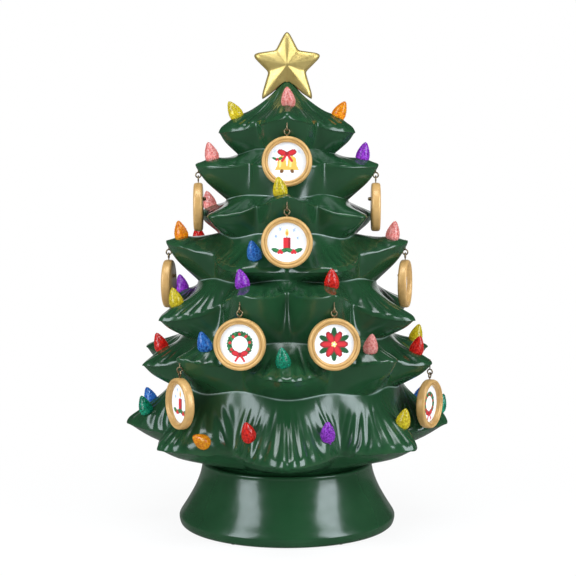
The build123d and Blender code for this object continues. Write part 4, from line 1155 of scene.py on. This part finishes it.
floor_mesh = bpy.data.meshes.new("floor")
floor_mesh.from_pydata(FLOOR_CORNERS, [], [(0, 1, 2, 3)])
floor = new_object("floor", floor_mesh)
floor_paint, tree, shader = new_material("floor_paint")
set_inputs(tree, shader, {"Base Color": (0.9, 0.9, 0.9, 1), "Roughness": 0.8, "Specular IOR Level": 0.1})
place = add_node(tree, "NewGeometry", {})["Position"]
distance = add_node(tree, "VectorMath", {0: place}, operation="LENGTH")["Value"]
whiteness = map_range(tree, distance, *SHADED_RADII, SHADED_WHITE, 1.0, interpolation_type="SMOOTHSTEP")
rays = add_node(tree, "LightPath", {})
direct = math_node(tree, "MAXIMUM", rays["Is Camera Ray"], rays["Is Transmission Ray"])
shown = math_node(tree, "MULTIPLY", direct, whiteness)
seen = math_node(tree, "MAXIMUM", shown, rays["Is Glossy Ray"])
dimming = math_node(tree, "MULTIPLY_ADD", rays["Is Glossy Ray"], MIRRORED_FLOOR - 1, 1.0)
glow = add_node(tree, "Emission", {"Color": WHITE, "Strength": dimming})["Emission"]
painted = add_node(tree, "MixShader", {"Fac": seen, 1: shader.outputs["BSDF"], 2: glow})["Shader"]
tree.links.new(painted, tree.nodes["Material Output"].inputs["Surface"])
floor_mesh.materials.append(floor_paint)

world = bpy.data.worlds.new("studio")
bpy.context.scene.world = world
world.use_nodes = True
tree = world.node_tree
rays = add_node(tree, "LightPath", {})
behind = add_node(tree, "SeparateXYZ", {0: add_node(tree, "TexCoord", {})["Generated"]})["Y"]
backdrop = map_range(tree, behind, *BACKDROP, 0.0, 1.0, interpolation_type="SMOOTHSTEP")
room = map_range(tree, backdrop, 0.0, 1.0, MIRRORED_ROOM, 1.0)
direct = math_node(tree, "MAXIMUM", rays["Is Camera Ray"], rays["Is Transmission Ray"])
mirrored = math_node(tree, "MULTIPLY", rays["Is Glossy Ray"], room)
diffuse = math_node(tree, "MULTIPLY", rays["Is Diffuse Ray"], ROOM_LIGHT)
level = math_node(tree, "MAXIMUM", math_node(tree, "MAXIMUM", direct, mirrored), diffuse)
set_inputs(tree, tree.nodes["Background"], {"Color": WHITE, "Strength": level})


def aim(obj, place, target):
    obj.location = place
    obj.rotation_euler = (Vector(target) - Vector(place)).to_track_quat("-Z", "Y").to_euler()


# Place, width, height, power and colour of each lamp
LIGHT_TARGET = (0, 0, 0.18)
SOFTBOXES = {
    "softbox_left": ((-1.15, -0.95, 0.75), 0.68, 1.2, 20, (0.84, 0.93, 1.0)),
    "softbox_right": ((1.21, -0.88, 0.75), 0.68, 1.2, 23, (0.84, 0.93, 1.0)),
    "softbox_top": ((0, -0.45, 1.6), 1.0, 0.5, 13, (0.90, 0.96, 1.0)),
}
for name, (place, width, height, power, colour) in SOFTBOXES.items():
    light = bpy.data.lights.new(name, "AREA")
    light.shape = "RECTANGLE"
    light.size, light.size_y = width, height
    light.energy, light.color = power, colour
    aim(new_object(name, light), place, LIGHT_TARGET)

CAMERA_PLACE = (0.0008, -1.029, 0.266)
CAMERA_TARGET = (0.0008, 0, 0.194)
camera_data = bpy.data.cameras.new("camera")
camera_data.lens = 78.5
camera_data.sensor_width = 36
camera = new_object("camera", camera_data)
aim(camera, CAMERA_PLACE, CAMERA_TARGET)
bpy.context.scene.camera = camera
bpy.context.scene.view_settings.view_transform = "Standard"
